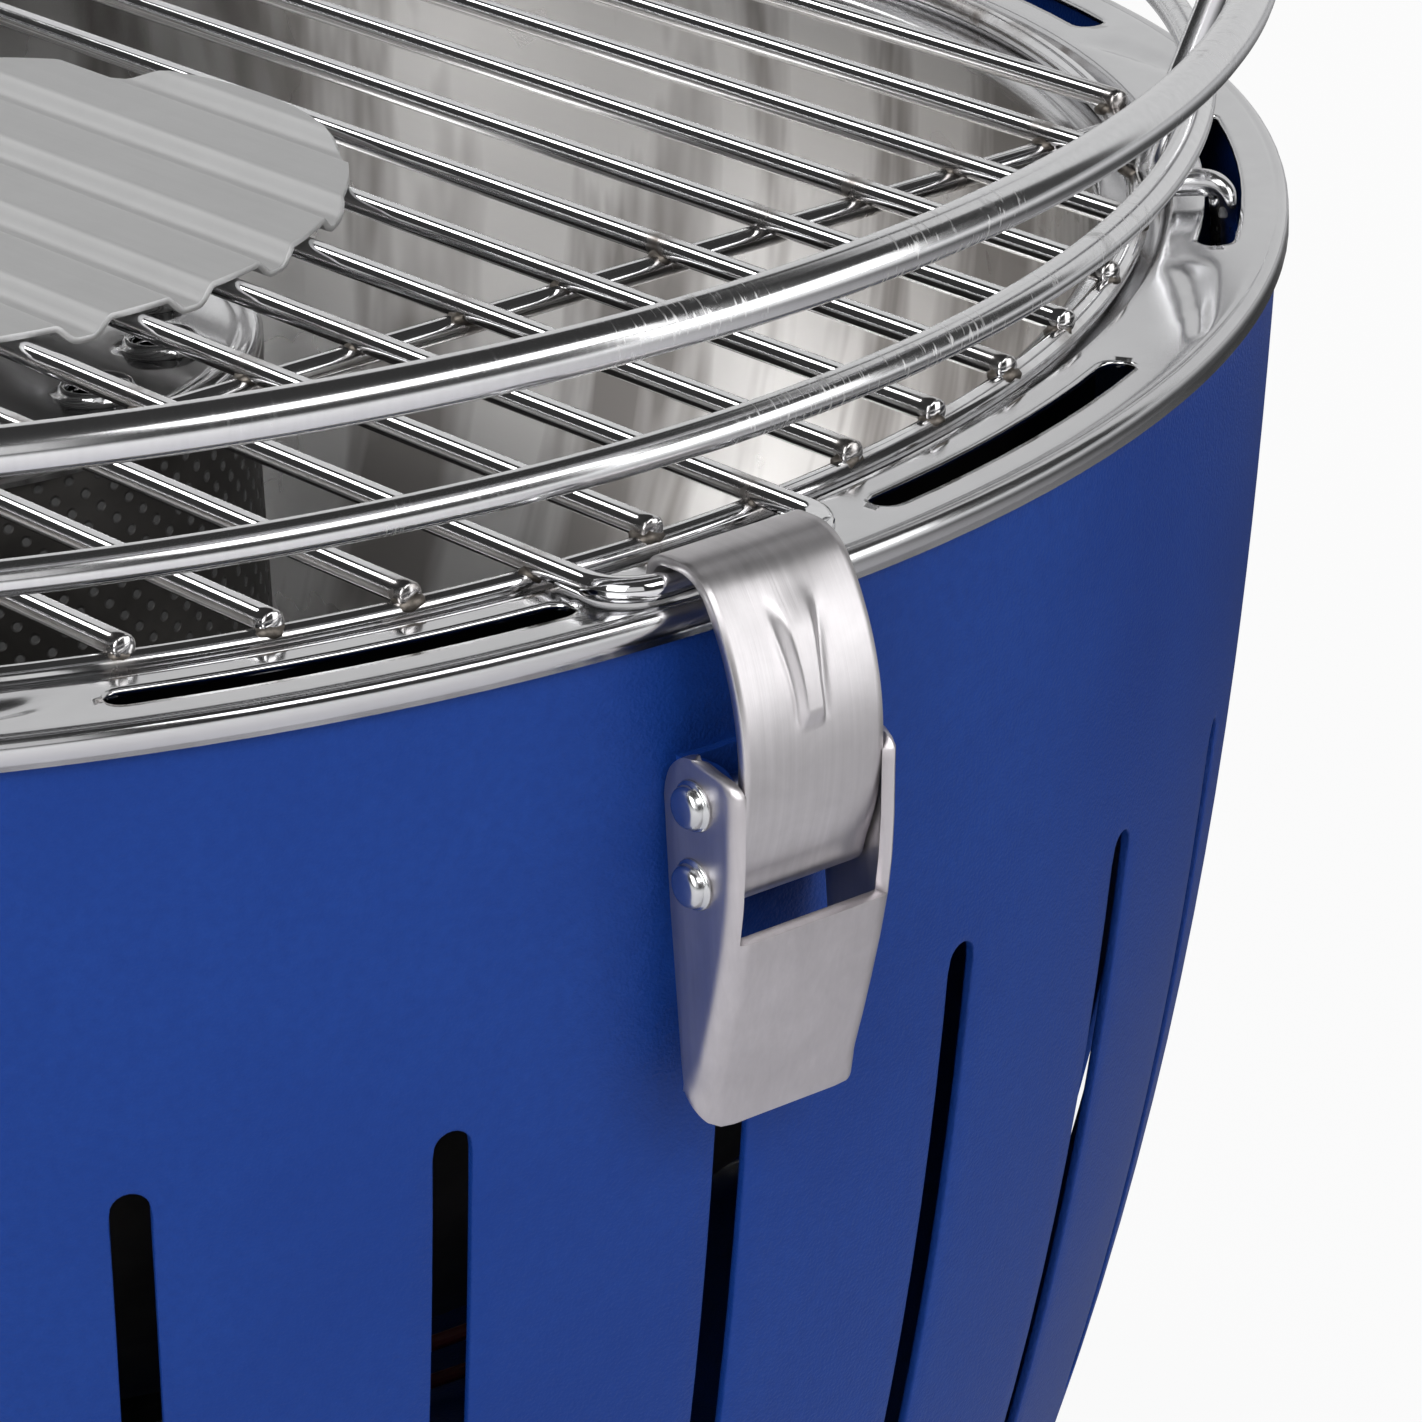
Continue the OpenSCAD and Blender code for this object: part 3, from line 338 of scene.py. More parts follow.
def outer_bowl_surface():
    """Wall, turn and floor over columns that keep to the slots. Inside a slot a column lies u mm
    to the side, at angle asin(u / r), and elsewhere it shares out the rest of the sector. At a
    slot's ends the row at the centre of the round end is lifted by sqrt(R^2 - u^2), fading out
    over 6 mm."""
    upper, lower = SLOT_TOP_Z - SLOT_HALF, SLOT_LOW_Z + SLOT_HALF
    heights = np.concatenate([
        np.linspace(BOWL_TOP_Z, upper + SLOT_FADE, 9), [upper + 4, upper + 2, upper],
        np.linspace(upper, lower, 12)[1:-1], [lower, lower - 2, lower - 4],
        np.linspace(lower - SLOT_FADE, TURN_Z, 6)])
    turn = -TURN_A - (np.pi / 2 - TURN_A) * np.linspace(0, 1, 10)[1:]
    radius = np.concatenate([wall_radius(heights), TURN_X + TURN_R * np.cos(turn),
                             [80, 40, 0]])
    level = np.concatenate([heights, FLOOR_UNDER_Z + TURN_R + TURN_R * np.sin(turn),
                            [FLOOR_UNDER_Z] * 3])
    inside = SLOT_HALF * np.sin(np.radians(np.linspace(-90, 90, 11)))
    land = np.linspace(0, 1, 10)[1:-1]
    half_sector = np.pi / SLOT_N
    rows = np.maximum(radius, 1e-3)[:, None]
    slot_part = np.arcsin(np.clip(inside / np.maximum(rows, 60), -1, 1))
    edge = slot_part[:, -1:]
    land_part = edge + (2 * half_sector - 2 * edge) * land
    columns = np.concatenate([slot_part, land_part], 1)
    angle = (np.arange(SLOT_N)[None, :, None] * 2 * half_sector + columns[:, None, :]).reshape(
        len(radius), -1)
    lift = np.sqrt(np.maximum(SLOT_HALF**2 - inside**2, 0))
    lift = np.tile(np.concatenate([lift, np.zeros(len(land))]), SLOT_N)
    near_top = np.clip(1 - np.abs(level - upper) / SLOT_FADE, 0, 1) * (level >= upper)
    near_low = np.clip(1 - np.abs(level - lower) / SLOT_FADE, 0, 1) * (level <= lower)
    z = level[:, None] + lift * (near_top - near_low)[:, None]
    r = np.where((z > TURN_Z) & (level[:, None] > TURN_Z), wall_radius(z), radius[:, None])
    points = np.stack([r * np.sin(angle), -r * np.cos(angle), z], -1).reshape(-1, 3)
    row_open = (level[:-1] <= upper) & (level[1:] >= lower)
    column_open = np.tile(np.arange(len(inside) + len(land)) < len(inside) - 1, SLOT_N)
    keep = ~(row_open[:, None] & column_open[None, :])
    return points, grid(len(radius), len(column_open), wrap=True, keep=keep)[:, ::-1]


paint = coat("blue_powder_coat", PAINT_DEEP, PAINT_LIT, (0.38, 0.48), (760.0, 0.30, 0.0004),
             specular=0.16)
bowl = piece("outer_bowl_painted", [outer_bowl_surface()], paint, "base",
             ["outer_bowl"])
thicken(bowl, BOWL_T, 0.3, 2)


# ---------------------------------------------------------------- rubber feet
# Four moulded black rubber feet, 24 mm across, screwed on from inside the bowl. The tread has
# two rings pressed into it.
FOOT_PROFILE = [(0, 1.2), (3.2, 1.2), (3.6, 0.6), (4.2, 0.1), (6.2, 0.0), (6.6, 0.7), (7.4, 0.7),
                (7.8, 0.0), (9.6, 0.0), (11.0, 0.5), (11.8, 1.6), (12.0, 2.6), (12.0, 6.6),
                (11.7, 7.4), (11.1, 7.9), (9.5, 8.0), (0, 8.0)]
FOOT_AT = 88.0


def lathe(profile, sides=48):
    """Profile of (radius, height) turned about Z, with its outside on the right of the way:
    point (i, j) is (r_i cos t_j, r_i sin t_j, z_i), t_j = 2 pi j / sides."""
    r, z = np.asarray(profile, float).T
    turn = np.linspace(0, 2 * np.pi, sides, endpoint=False)
    flat = r[:, None] * np.stack([np.cos(turn), np.sin(turn)])[:, None, :]
    height = np.broadcast_to(z[:, None], flat[0].shape)
    points = np.stack([flat[0], flat[1], height], -1).reshape(-1, 3)
    return points, grid(len(r), sides, wrap=True)


def copies(shape, places):
    """The shape once at each (n, 3) place."""
    points, quads = shape
    return [(points + place, quads) for place in np.asarray(places, float)]


def around(radius, angles, z=0.0):
    """Places on a circle. Angles are in degrees, from -Y toward +X."""
    a = np.radians(angles)
    return np.stack([radius * np.sin(a), -radius * np.cos(a), np.full(a.shape, z)], -1)


rubber = coat("black_rubber", (0.010, 0.010, 0.011, 1), (0.028, 0.028, 0.030, 1), (0.62, 0.78),
              (1500.0, 0.25, 0.0002))
piece("rubber_feet_moulded",
      copies(lathe(FOOT_PROFILE), around(FOOT_AT, np.array([45, 135, 225, 315]))), rubber,
      "base", ["rubber_feet"])


# ---------------------------------------------------------------- inner bowl
# Spun stainless steel, 0.8 mm, polished. Its flange has eleven long slots with a pressed
# dimple between each two, and a lip that wraps over the painted bowl's edge.
INNER_FLOOR_Z, INNER_FLOOR_R, AIR_HOLE_R = 86.0, 80.0, 26.0
INNER_WALL_R, INNER_WALL_Z, INNER_WALL_DRAW = 151.0, 196.9, 67.0
FLANGE_OUT_R, FLANGE_IN_R = 173.3, 161.3
LIP_ROWS = [(175.2, 197.5), (175.2, 199.9), (175.05, 200.45), (174.7, 200.85), (174.35, 201.0),
            (174.0, 200.95), (173.8, 200.72), (173.55, 200.95), (FLANGE_OUT_R, RIM_Z)]
LEDGE_ROWS = [(FLANGE_IN_R, RIM_Z), (160.95, 200.85), (160.75, 200.5), (160.2, 199.4),
              (159.9, 199.05), (159.5, 198.9), (156, 198.9), (153.2, 198.9), (152.4, 198.75),
              (151.7, 198.2)]
RIM_SLOT_N, RIM_SLOT_FIRST = 11, 17.6
RIM_SLOT_R, RIM_SLOT_HALF_W, RIM_SLOT_HALF_A = 167.25, 2.25, math.radians(9.1)
SHEET_T = 0.8
STEEL_DARK, STEEL_LIGHT = (0.56, 0.56, 0.57, 1), (0.70, 0.70, 0.71, 1)
# Painted reflections: the light and dark of the upright streaks on the inner wall.
REFLECTION_STREAK_DARK, REFLECTION_STREAK_LIGHT = (0.42, 0.40, 0.385, 1), (0.98, 0.97, 0.96, 1)
POLISH_END, BLUR_START = 0.1985, 0.1960


def build_lines(tree, given):
    """Fine brush lines: noise stretched along one way by a scale for each axis."""
    place = node(tree, "TexCoord").outputs["Object"]
    scale = node(tree, "CombineXYZ", {"X": given["X"], "Y": given["Y"], "Z": given["Z"]})
    stretched = node(tree, "VectorMath", {0: place, 1: scale.outputs[0]}, operation="MULTIPLY")
    lines = node(tree, "TexNoise", {"Vector": stretched.outputs[0], "Scale": 1.0, "Detail": 4.0,
                                    "Roughness": 0.7})
    bump = node(tree, "Bump", {"Height": lines.outputs[0], "Strength": given["Strength"],
                               "Distance": 0.00005})
    return {"Value": lines.outputs[0], "Normal": bump.outputs[0]}


def build_round_noise(tree, given):
    """Noise over the angle round the grill's axis and the height, each with its own scale."""
    place = node(tree, "SeparateXYZ", {0: node(tree, "TexCoord").outputs["Object"]}).outputs
    angle = node(tree, "Math", {0: place[0], 1: place[1]}, operation="ARCTAN2").outputs[0]
    around_up = node(tree, "CombineXYZ", {"X": angle, "Z": place[2]})
    scale = node(tree, "CombineXYZ", {"X": given["Around"], "Z": given["Up"]})
    stretched = node(tree, "VectorMath", {0: around_up.outputs[0], 1: scale.outputs[0]},
                     operation="MULTIPLY")
    noise = node(tree, "TexNoise", {"Vector": stretched.outputs[0], "Scale": 1.0,
                                    "Detail": given["Detail"], "Roughness": given["Roughness"],
                                    "Distortion": given["Distortion"]})
    return {"Value": noise.outputs[0]}


LINES = group("brush_lines", {"X": 900.0, "Y": 900.0, "Z": 20.0, "Strength": 0.3}, build_lines)
ROUND_NOISE = group("round_noise", {"Around": 7.0, "Up": 9.0, "Detail": 4.0, "Roughness": 0.6,
                                    "Distortion": 0.3}, build_round_noise)


def brushed(tree, lines):
    """Brush lines, given as (X, Y, Z, Strength): the scale along each axis and the depth."""
    return use(tree, LINES, dict(zip(("X", "Y", "Z", "Strength"), lines)))


def metal(name, low, high, rough, lines, patina_scale=14.0, stains=0.0):
    """Bare metal: two tones by its brush lines, cloudy roughness, and dull stains."""
    made, tree = empty_material(name)
    cloud = use(tree, PATINA, {"Scale": patina_scale})["Value"]
    brush = brushed(tree, lines)
    tone = mixed(tree, brush["Value"], low, high)
    spots = use(tree, PATINA, {"Scale": patina_scale * 7})["Value"]
    dull = node(tree, "Math", {0: spots, 1: stains}, operation="MULTIPLY")
    stained = mixed(tree, dull.outputs[0], tone, tuple(0.55 * c for c in low[:3]) + (1,))
    rough_share = node(tree, "Math", {0: cloud, 1: 0.6, 2: brush["Value"]},
                       operation="MULTIPLY_ADD")
    surface = node(tree, "BsdfPrincipled", {
        "Base Color": stained, "Metallic": 1.0, "Normal": brush["Normal"],
        "Roughness": spread(tree, rough_share.outputs[0], *rough),
    })
    node(tree, "OutputMaterial", {"Surface": surface.outputs[0]})
    return made


def flange_columns():
    """Angles over one slot and the land after it, from the slot's centre, and the half width of
    the slot there: full between its round ends, sqrt(w^2 - (R (a - e))^2) in them."""
    end = RIM_SLOT_HALF_A - RIM_SLOT_HALF_W / RIM_SLOT_R
    cap = end + RIM_SLOT_HALF_W / RIM_SLOT_R * np.sin(np.radians([0, 22, 44, 62, 76, 90]))
    straight = np.linspace(-end, end, 9)[1:-1]
    land_end = 2 * np.pi / RIM_SLOT_N - RIM_SLOT_HALF_A
    land = np.linspace(RIM_SLOT_HALF_A, land_end, 26)[1:-1]
    angle = np.concatenate([-cap[::-1], straight, cap, land])
    past_end = np.maximum(np.abs(angle) - end, 0) * RIM_SLOT_R
    half = np.sqrt(np.maximum(RIM_SLOT_HALF_W**2 - past_end**2, 0))
    share = np.clip((angle - RIM_SLOT_HALF_A) / (land_end - RIM_SLOT_HALF_A), 0, 1)
    on_land = angle > RIM_SLOT_HALF_A
    half = np.where(on_land, RIM_SLOT_HALF_W * np.sin(np.pi * share) ** 0.5, half)
    return angle, half, np.arange(len(angle)) < len(angle) - len(land) - 1, share * on_land


def dimple(radius, share):
    """Depth of the pressed dimple on a land: a V trench whose centre line runs from r 173 at
    share 0.21 to r 165 at share 0.86, and whose half width grows from 0.5 to 3.2."""
    t = (share - 0.21) / 0.65
    inside = (t > 0) & (t < 1.05)
    centre, half = 173 - 8 * t, 0.5 + 2.7 * t
    across = np.clip(1 - np.abs(radius - centre) / np.maximum(half, 0.1), 0, 1)
    ends = np.clip(t / 0.12, 0, 1) * np.clip((1.05 - t) / 0.16, 0, 1)
    return 0.75 * inside * ends * across**0.8


def inner_bowl_surface():
    """From the lip over the flange, the ledge and the wall to the air hole. The rows beside a
    slot lie at R +- half width, so they meet at its ends, and the rest share out what is left.
    The wall is r = R - draw s^1.8 and z = top - depth sin(90 s^0.9), s from 0 to 1."""
    angle, half, open_column, share = flange_columns()
    outer_rows = np.array(LIP_ROWS)
    s = np.linspace(0, 1, 34)
    depth = (INNER_WALL_Z - INNER_FLOOR_Z) * np.sin(np.pi / 2 * s**0.9)
    wall = np.stack([INNER_WALL_R - INNER_WALL_DRAW * s**1.8, INNER_WALL_Z - depth], -1)
    floor_r = np.linspace(INNER_FLOOR_R, AIR_HOLE_R, 8)
    floor_rows = np.stack([floor_r, np.full(len(floor_r), INNER_FLOOR_Z)], -1)
    outside, inside = RIM_SLOT_R + half, RIM_SLOT_R - half
    flange = [outside + (FLANGE_OUT_R - outside) * t for t in (0.8, 0.6, 0.4, 0.2, 0)]
    flange += [RIM_SLOT_R + half * t for t in (0.33, -0.33)]
    flange += [inside - (inside - FLANGE_IN_R) * t for t in (0, 0.25, 0.5, 0.75)]
    flange = np.array(flange)
    plain = np.concatenate([LEDGE_ROWS, wall, floor_rows])
    r = np.concatenate([np.repeat(outer_rows[:, :1], len(angle), 1), flange,
                        np.repeat(plain[:, :1], len(angle), 1)])
    z = np.concatenate([np.repeat(outer_rows[:, 1:], len(angle), 1),
                        RIM_Z - dimple(flange, share[None, :]),
                        np.repeat(plain[:, 1:], len(angle), 1)])
    first = np.radians(RIM_SLOT_FIRST) + np.arange(RIM_SLOT_N) * 2 * np.pi / RIM_SLOT_N
    all_angles = (first[:, None] + angle).reshape(-1)
    r, z = np.tile(r, RIM_SLOT_N), np.tile(z, RIM_SLOT_N)
    points = np.stack([r * np.sin(all_angles), -r * np.cos(all_angles), z], -1).reshape(-1, 3)
    row_open = np.zeros(len(r) - 1, bool)
    row_open[len(outer_rows) + 4:len(outer_rows) + 7] = True
    keep = ~(row_open[:, None] & np.tile(open_column, RIM_SLOT_N)[None, :])
    return points, grid(len(r), len(all_angles), wrap=True, keep=keep)


def spun_steel():
    """Polished on the flange, and below the ledge blurred by spinning and heat, with upright
    light and dark streaks in its colour that are painted reflections."""
    made, tree = empty_material("spun_steel")
    place = node(tree, "SeparateXYZ", {0: node(tree, "TexCoord").outputs["Object"]}).outputs
    low = node(tree, "MapRange", {"Value": place[2], "From Min": POLISH_END,
                                  "From Max": BLUR_START})
    # Painted reflection streaks: noise over angle and height that lightens and darkens the wall.
    painted_reflection_streak = node(tree, "MapRange", {"Value": use(tree, ROUND_NOISE)["Value"], "From Min": 0.40,
                                     "From Max": 0.54}).outputs[0]
    cloud = use(tree, PATINA, {"Scale": 14.0})["Value"]
    brush = brushed(tree, (60.0, 60.0, 60.0, 0.05))
    flange = mixed(tree, brush["Value"], STEEL_DARK, STEEL_LIGHT)
    wall = mixed(tree, painted_reflection_streak, REFLECTION_STREAK_DARK, REFLECTION_STREAK_LIGHT)
    blur = node(tree, "Math", {0: low.outputs[0], 1: 0.14, 2: spread(tree, cloud, 0.10, 0.22)},
                operation="MULTIPLY_ADD")
    surface = node(tree, "BsdfPrincipled", {
        "Base Color": mixed(tree, low.outputs[0], flange, wall), "Metallic": 1.0,
        "Roughness": blur.outputs[0], "Normal": brush["Normal"]})
    node(tree, "OutputMaterial", {"Surface": surface.outputs[0]})
    return made


# Painted shade: near-black steel on the inner bowl's underside, which shows through the slots of
# the painted bowl.
underside_painted_shade = metal("painted_shade_underside_steel", (0.030, 0.028, 0.027, 1), (0.075, 0.070, 0.066, 1),
                    (0.45, 0.65), (60.0, 60.0, 60.0, 0.1), patina_scale=20.0, stains=0.4)
inner = piece("inner_bowl_spun", [inner_bowl_surface()], spun_steel(), "inner",
              ["inner_bowl"])
inner.data.materials.append(underside_painted_shade)
thicken(inner, SHEET_T)
inner.modifiers["thickness"].material_offset = 1


# ---------------------------------------------------------------- charcoal basket
# A rolled and welded steel cup, perforated all over with small holes, that stands on the inner
# bowl's floor round the air opening.
BASKET_R, BASKET_FLOOR_Z = 46.0, 101.0
DOT_PITCH, DOT_R = 4.2, 0.75
BASKET_DARK, BASKET_LIGHT = (0.055, 0.052, 0.050, 1), (0.13, 0.125, 0.12, 1)
# Painted shade: the dark grey of the painted holes.
HOLE_PAINTED_SHADE = (0.085, 0.085, 0.085, 1)
BASKET_PROFILE = [
    (0, BASKET_FLOOR_Z - 0.8), (44.6, BASKET_FLOOR_Z - 0.8), (45.0, 86.0), (45.9, 86.0),
    (BASKET_R, 86.2), (BASKET_R, 120), (BASKET_R, 155), (BASKET_R, 184.8), (45.8, 185.2),
    (45.3, 185.2), (45.2, 184.9), (45.2, 140), (45.2, 101.4), (44.8, BASKET_FLOOR_Z),
    (0, BASKET_FLOOR_Z)]


def perforated_steel():
    """Small round holes in a staggered pattern, on a UV map in millimetres along and up. The holes
    are painted dark grey: painted shade seen through them.
    """
    made, tree = empty_material("perforated_steel")
    place = node(tree, "SeparateXYZ", {0: node(tree, "UVMap", uv_map="along_up").outputs[0]})

    def past_dot(value, shift):
        """Distance past the middle of the dot in whose square the value lies."""
        moved = node(tree, "Math", {0: value, 1: shift}, operation="ADD")
        in_square = node(tree, "Math", {0: moved.outputs[0], 1: DOT_PITCH, 2: 0.0},
                         operation="WRAP")
        return node(tree, "Math", {0: in_square.outputs[0], 1: DOT_PITCH / 2},
                    operation="SUBTRACT").outputs[0]

    holes = []
    for shift in (0, DOT_PITCH / 2):
        along, up = past_dot(place.outputs[0], shift), past_dot(place.outputs[1], shift)
        spot = node(tree, "CombineXYZ", {"X": along, "Y": up})
        away = node(tree, "VectorMath", {0: spot.outputs[0]}, operation="LENGTH")
        holes.append(node(tree, "MapRange", {
            "Value": away.outputs["Value"], "From Min": DOT_R, "From Max": DOT_R - 0.3}).outputs[0])
    hole = node(tree, "Math", {0: holes[0], 1: holes[1]}, operation="MAXIMUM").outputs[0]
    cloud = use(tree, PATINA, {"Scale": 30.0})["Value"]
    tone = mixed(tree, cloud, BASKET_DARK, BASKET_LIGHT)
    solid_share = node(tree, "Math", {0: 1.0, 1: hole}, operation="SUBTRACT").outputs[0]
    bump = node(tree, "Bump", {"Height": solid_share, "Strength": 0.8, "Distance": 0.0004})
    surface = node(tree, "BsdfPrincipled", {
        "Base Color": mixed(tree, hole, tone, HOLE_PAINTED_SHADE),
        "Metallic": solid_share, "Roughness": spread(tree, hole, 0.42, 0.9),
        "Normal": bump.outputs[0]})
    node(tree, "OutputMaterial", {"Surface": surface.outputs[0]})
    return made


def flat_map(made, uv):
    """UV map along_up with one pair for each vertex."""
    layer = made.data.uv_layers.new(name="along_up")
    corner = np.zeros(len(made.data.loops), int)
    made.data.loops.foreach_get("vertex_index", corner)
    layer.data.foreach_set("uv", uv[corner].astype(np.float32).ravel())


basket = piece("charcoal_basket_perforated", [lathe(BASKET_PROFILE, 96)], perforated_steel(),
               "basket", ["charcoal_basket", "basket_floor"])
where = np.array([v.co for v in basket.data.vertices]) / MM
on_wall = np.hypot(where[:, 0], where[:, 1]) > BASKET_R - 1.1
rolled_out = np.stack([BASKET_R * np.arctan2(where[:, 1], where[:, 0]), where[:, 2]], -1)
flat_map(basket, np.where(on_wall[:, None], rolled_out, where[:, :2]))


# ---------------------------------------------------------------- basket lid
# A pressed and polished steel lid that sits over the basket's top edge, with twelve vent holes
# whose edges are drawn up into bright collars.
VENT_N, VENT_R, VENT_AT = 12, 3.75, 35.3
LID_FACE_Z, VENT_BAND = 185.6, (26.0, 43.0)
SKIRT_ROWS = [(47.4, 182.0), (47.4, 185.0), (47.2, 185.6), (46.7, 185.95), (46.2, 186.0),
              (44.9, 186.0), (44.5, 185.75), (44.0, LID_FACE_Z)]
DISH_ROWS = [(22.0, LID_FACE_Z), (16.0, 185.65), (12.0, 185.9), (8.0, 186.0), (0, 186.0)]
COLLAR_PROFILE = [(VENT_R, 184.9), (VENT_R, 186.4), (3.9, 186.9), (4.2, 187.15), (4.5, 187.1),
                  (4.75, 186.6), (4.9, 186.0), (5.3, 185.62), (6.0, 185.45), (VENT_R, 184.9)]


def lid_surface():
    """A disc with a skirt. In each twelfth the rows beside a vent lie at R +- sqrt(v^2 - (R sin
    a)^2), so they meet at its sides."""
    reach = math.asin(VENT_R / VENT_AT)
    inside = np.arcsin(np.sin(np.radians(np.linspace(-90, 90, 13))) * math.sin(reach))
    land = np.linspace(reach, 2 * np.pi / VENT_N - reach, 8)[1:-1]
    angle = np.concatenate([inside, land])
    half = np.sqrt(np.maximum(VENT_R**2 - (VENT_AT * np.sin(angle))**2, 0))
    share = np.clip((angle - reach) / (2 * np.pi / VENT_N - 2 * reach), 0, 1)
    half = np.where(angle > reach, VENT_R * np.sin(np.pi * share) ** 0.5, half)
    skirt, middle = np.array(SKIRT_ROWS), np.array(DISH_ROWS)
    rows = [VENT_AT + half + (VENT_BAND[1] - VENT_AT - half) * t for t in (1, 0.5, 0)]
    rows += [VENT_AT - half - (VENT_AT - half - VENT_BAND[0]) * t for t in (0, 0.5, 1)]
    rows = np.array(rows)
    r = np.concatenate([np.repeat(skirt[:, :1], len(angle), 1), rows,
                        np.repeat(middle[:, :1], len(angle), 1)])
    z = np.concatenate([np.repeat(skirt[:, 1:], len(angle), 1), np.full(rows.shape, LID_FACE_Z),
                        np.repeat(middle[:, 1:], len(angle), 1)])
    first = np.radians(180 / VENT_N) + np.arange(VENT_N) * 2 * np.pi / VENT_N
    turned = (first[:, None] + angle).reshape(-1)
    r, z = np.tile(r, VENT_N), np.tile(z, VENT_N)
    points = np.stack([r * np.sin(turned), -r * np.cos(turned), z], -1).reshape(-1, 3)
    row_open = np.arange(len(r) - 1) == len(skirt) + 2
    column_open = np.tile(np.arange(len(angle)) < len(inside) - 1, VENT_N)
    keep = ~(row_open[:, None] & column_open[None, :])
    return points, grid(len(r), len(turned), wrap=True, keep=keep)


mirror = metal("mirror_steel", (0.66, 0.66, 0.67, 1), (0.78, 0.78, 0.79, 1), (0.05, 0.12),
               (50.0, 50.0, 50.0, 0.04), patina_scale=25.0, stains=0.06)
vent_angles = 180 / VENT_N + 360 / VENT_N * np.arange(VENT_N)
collars = [(points, quads[:, ::-1]) for points, quads in copies(
    lathe(COLLAR_PROFILE, 28), around(VENT_AT, vent_angles))]
lid = piece("basket_lid_pressed", [lid_surface()] + collars, mirror, "basket_cover",
            ["basket_lid"])
thicken(lid, 0.6)


# ---------------------------------------------------------------- grate
# Chromed steel wire, 3 mm: nineteen bars, of which two bend round to a loop at both ends, spot
# welded onto a ring and two cross rods. Each weld left a small dark, uneven lump.
WIRE_R = 1.5
BAR_Z, RING_Z, RING_R = 202.8, 200.7, 157.06
PITCH, SIDE_BARS, BAR_END_R, ROD_Y = 15.25, 9, 158.0, 82.0
LOOP_Y, LOOP_CORNER = 172.0, 6.0
SCORCH_REACH = 3.0
CHROME_DARK, CHROME_LIGHT = (0.70, 0.70, 0.71, 1), (0.84, 0.84, 0.85, 1)
SCORCH_BROWN = (0.16, 0.12, 0.09, 1)
UPWARD = np.array([0.0, 0.0, 1.0])


def wire(path, radius, normal, sides=16, chamfer=0.3, closed=False):
    """Tube along a flat path whose plane has that normal: ring i is p_i + radius (n cos t + (d_i x
    n) sin t), d_i being the way there. Open ends are cut square, with a small chamfer."""
    path = np.asarray(path, float)
    if closed:
        way = np.roll(path, -1, 0) - np.roll(path, 1, 0)
    else:
        way = np.gradient(path, axis=0)
    way /= np.linalg.norm(way, axis=1)[:, None]
    size = np.full(len(path), radius)
    if not closed:
        first, last = path[0], path[-1]
        path = np.concatenate([[first, first], [first + way[0] * chamfer], path[1:-1],
                               [last - way[-1] * chamfer], [last, last]])
        size = np.concatenate([[0, radius - chamfer], size, [radius - chamfer, 0]])
        way = np.concatenate([way[[0, 0]], way, way[[-1, -1]]])
    turn = np.linspace(0, 2 * np.pi, sides, endpoint=False)
    side = np.cross(way, normal)
    ring = np.cos(turn)[None, :, None] * normal + np.sin(turn)[None, :, None] * side[:, None, :]
    points = path[:, None, :] + size[:, None, None] * ring
    if closed:
        points = np.concatenate([points, points[:1]])
    return points.reshape(-1, 3), grid(len(points), sides, wrap=True)


def line(start, end, steps):
    return np.linspace(np.array(start, float), np.array(end, float), steps)


def circle_path(radius, z, steps):
    return around(radius, np.arange(steps) * 360.0 / steps, z)


def scorch(points, to_bar):
    """1 at a weld, falling off as exp(-(d / reach)^2), d being the distance along the wire."""
    if to_bar:
        d = points[:, 0] - PITCH * np.round(points[:, 0] / PITCH)
    else:
        d = np.minimum(np.abs(np.hypot(points[:, 0], points[:, 1]) - RING_R),
                       np.abs(np.abs(points[:, 1]) - ROD_Y))
    return np.exp(-(d / SCORCH_REACH) ** 2)


def bright_wire():
    """Mirror chrome, clouded and browned where the scorch attribute says."""
    made, tree = empty_material("bright_wire")
    burn = node(tree, "Attribute", attribute_name="scorch").outputs["Fac"]
    cloud = use(tree, PATINA, {"Scale": 160.0})["Value"]
    marks = brushed(tree, (500.0, 90.0, 500.0, 0.06))
    patch = node(tree, "Math", {0: burn, 1: cloud}, operation="MULTIPLY")
    brown = node(tree, "Math", {0: patch.outputs[0], 1: 0.8}, operation="MULTIPLY").outputs[0]
    chrome = mixed(tree, marks["Value"], CHROME_DARK, CHROME_LIGHT)
    base = mixed(tree, brown, chrome, SCORCH_BROWN)
    rough = node(tree, "Math", {0: brown, 1: 0.35, 2: spread(tree, cloud, 0.05, 0.11)},
                 operation="MULTIPLY_ADD")
    surface = node(tree, "BsdfPrincipled", {"Base Color": base, "Metallic": 1.0,
                                            "Roughness": rough.outputs[0],
                                            "Normal": marks["Normal"]})
    node(tree, "OutputMaterial", {"Surface": surface.outputs[0]})
    return made


chrome = bright_wire()
bar_x = PITCH * np.array([k for k in range(-SIDE_BARS, SIDE_BARS + 1) if abs(k) != 1])
bar_half = np.sqrt(BAR_END_R**2 - bar_x**2)
bar_parts = [wire(line((x, -h, BAR_Z), (x, h, BAR_Z), 160), WIRE_R, UPWARD)
             for x, h in zip(bar_x, bar_half)]
piece("grate_bars_wire", bar_parts, chrome, "grate", ["grate_bars"],
      {"scorch": scorch(np.concatenate([p for p, _ in bar_parts]), False)})

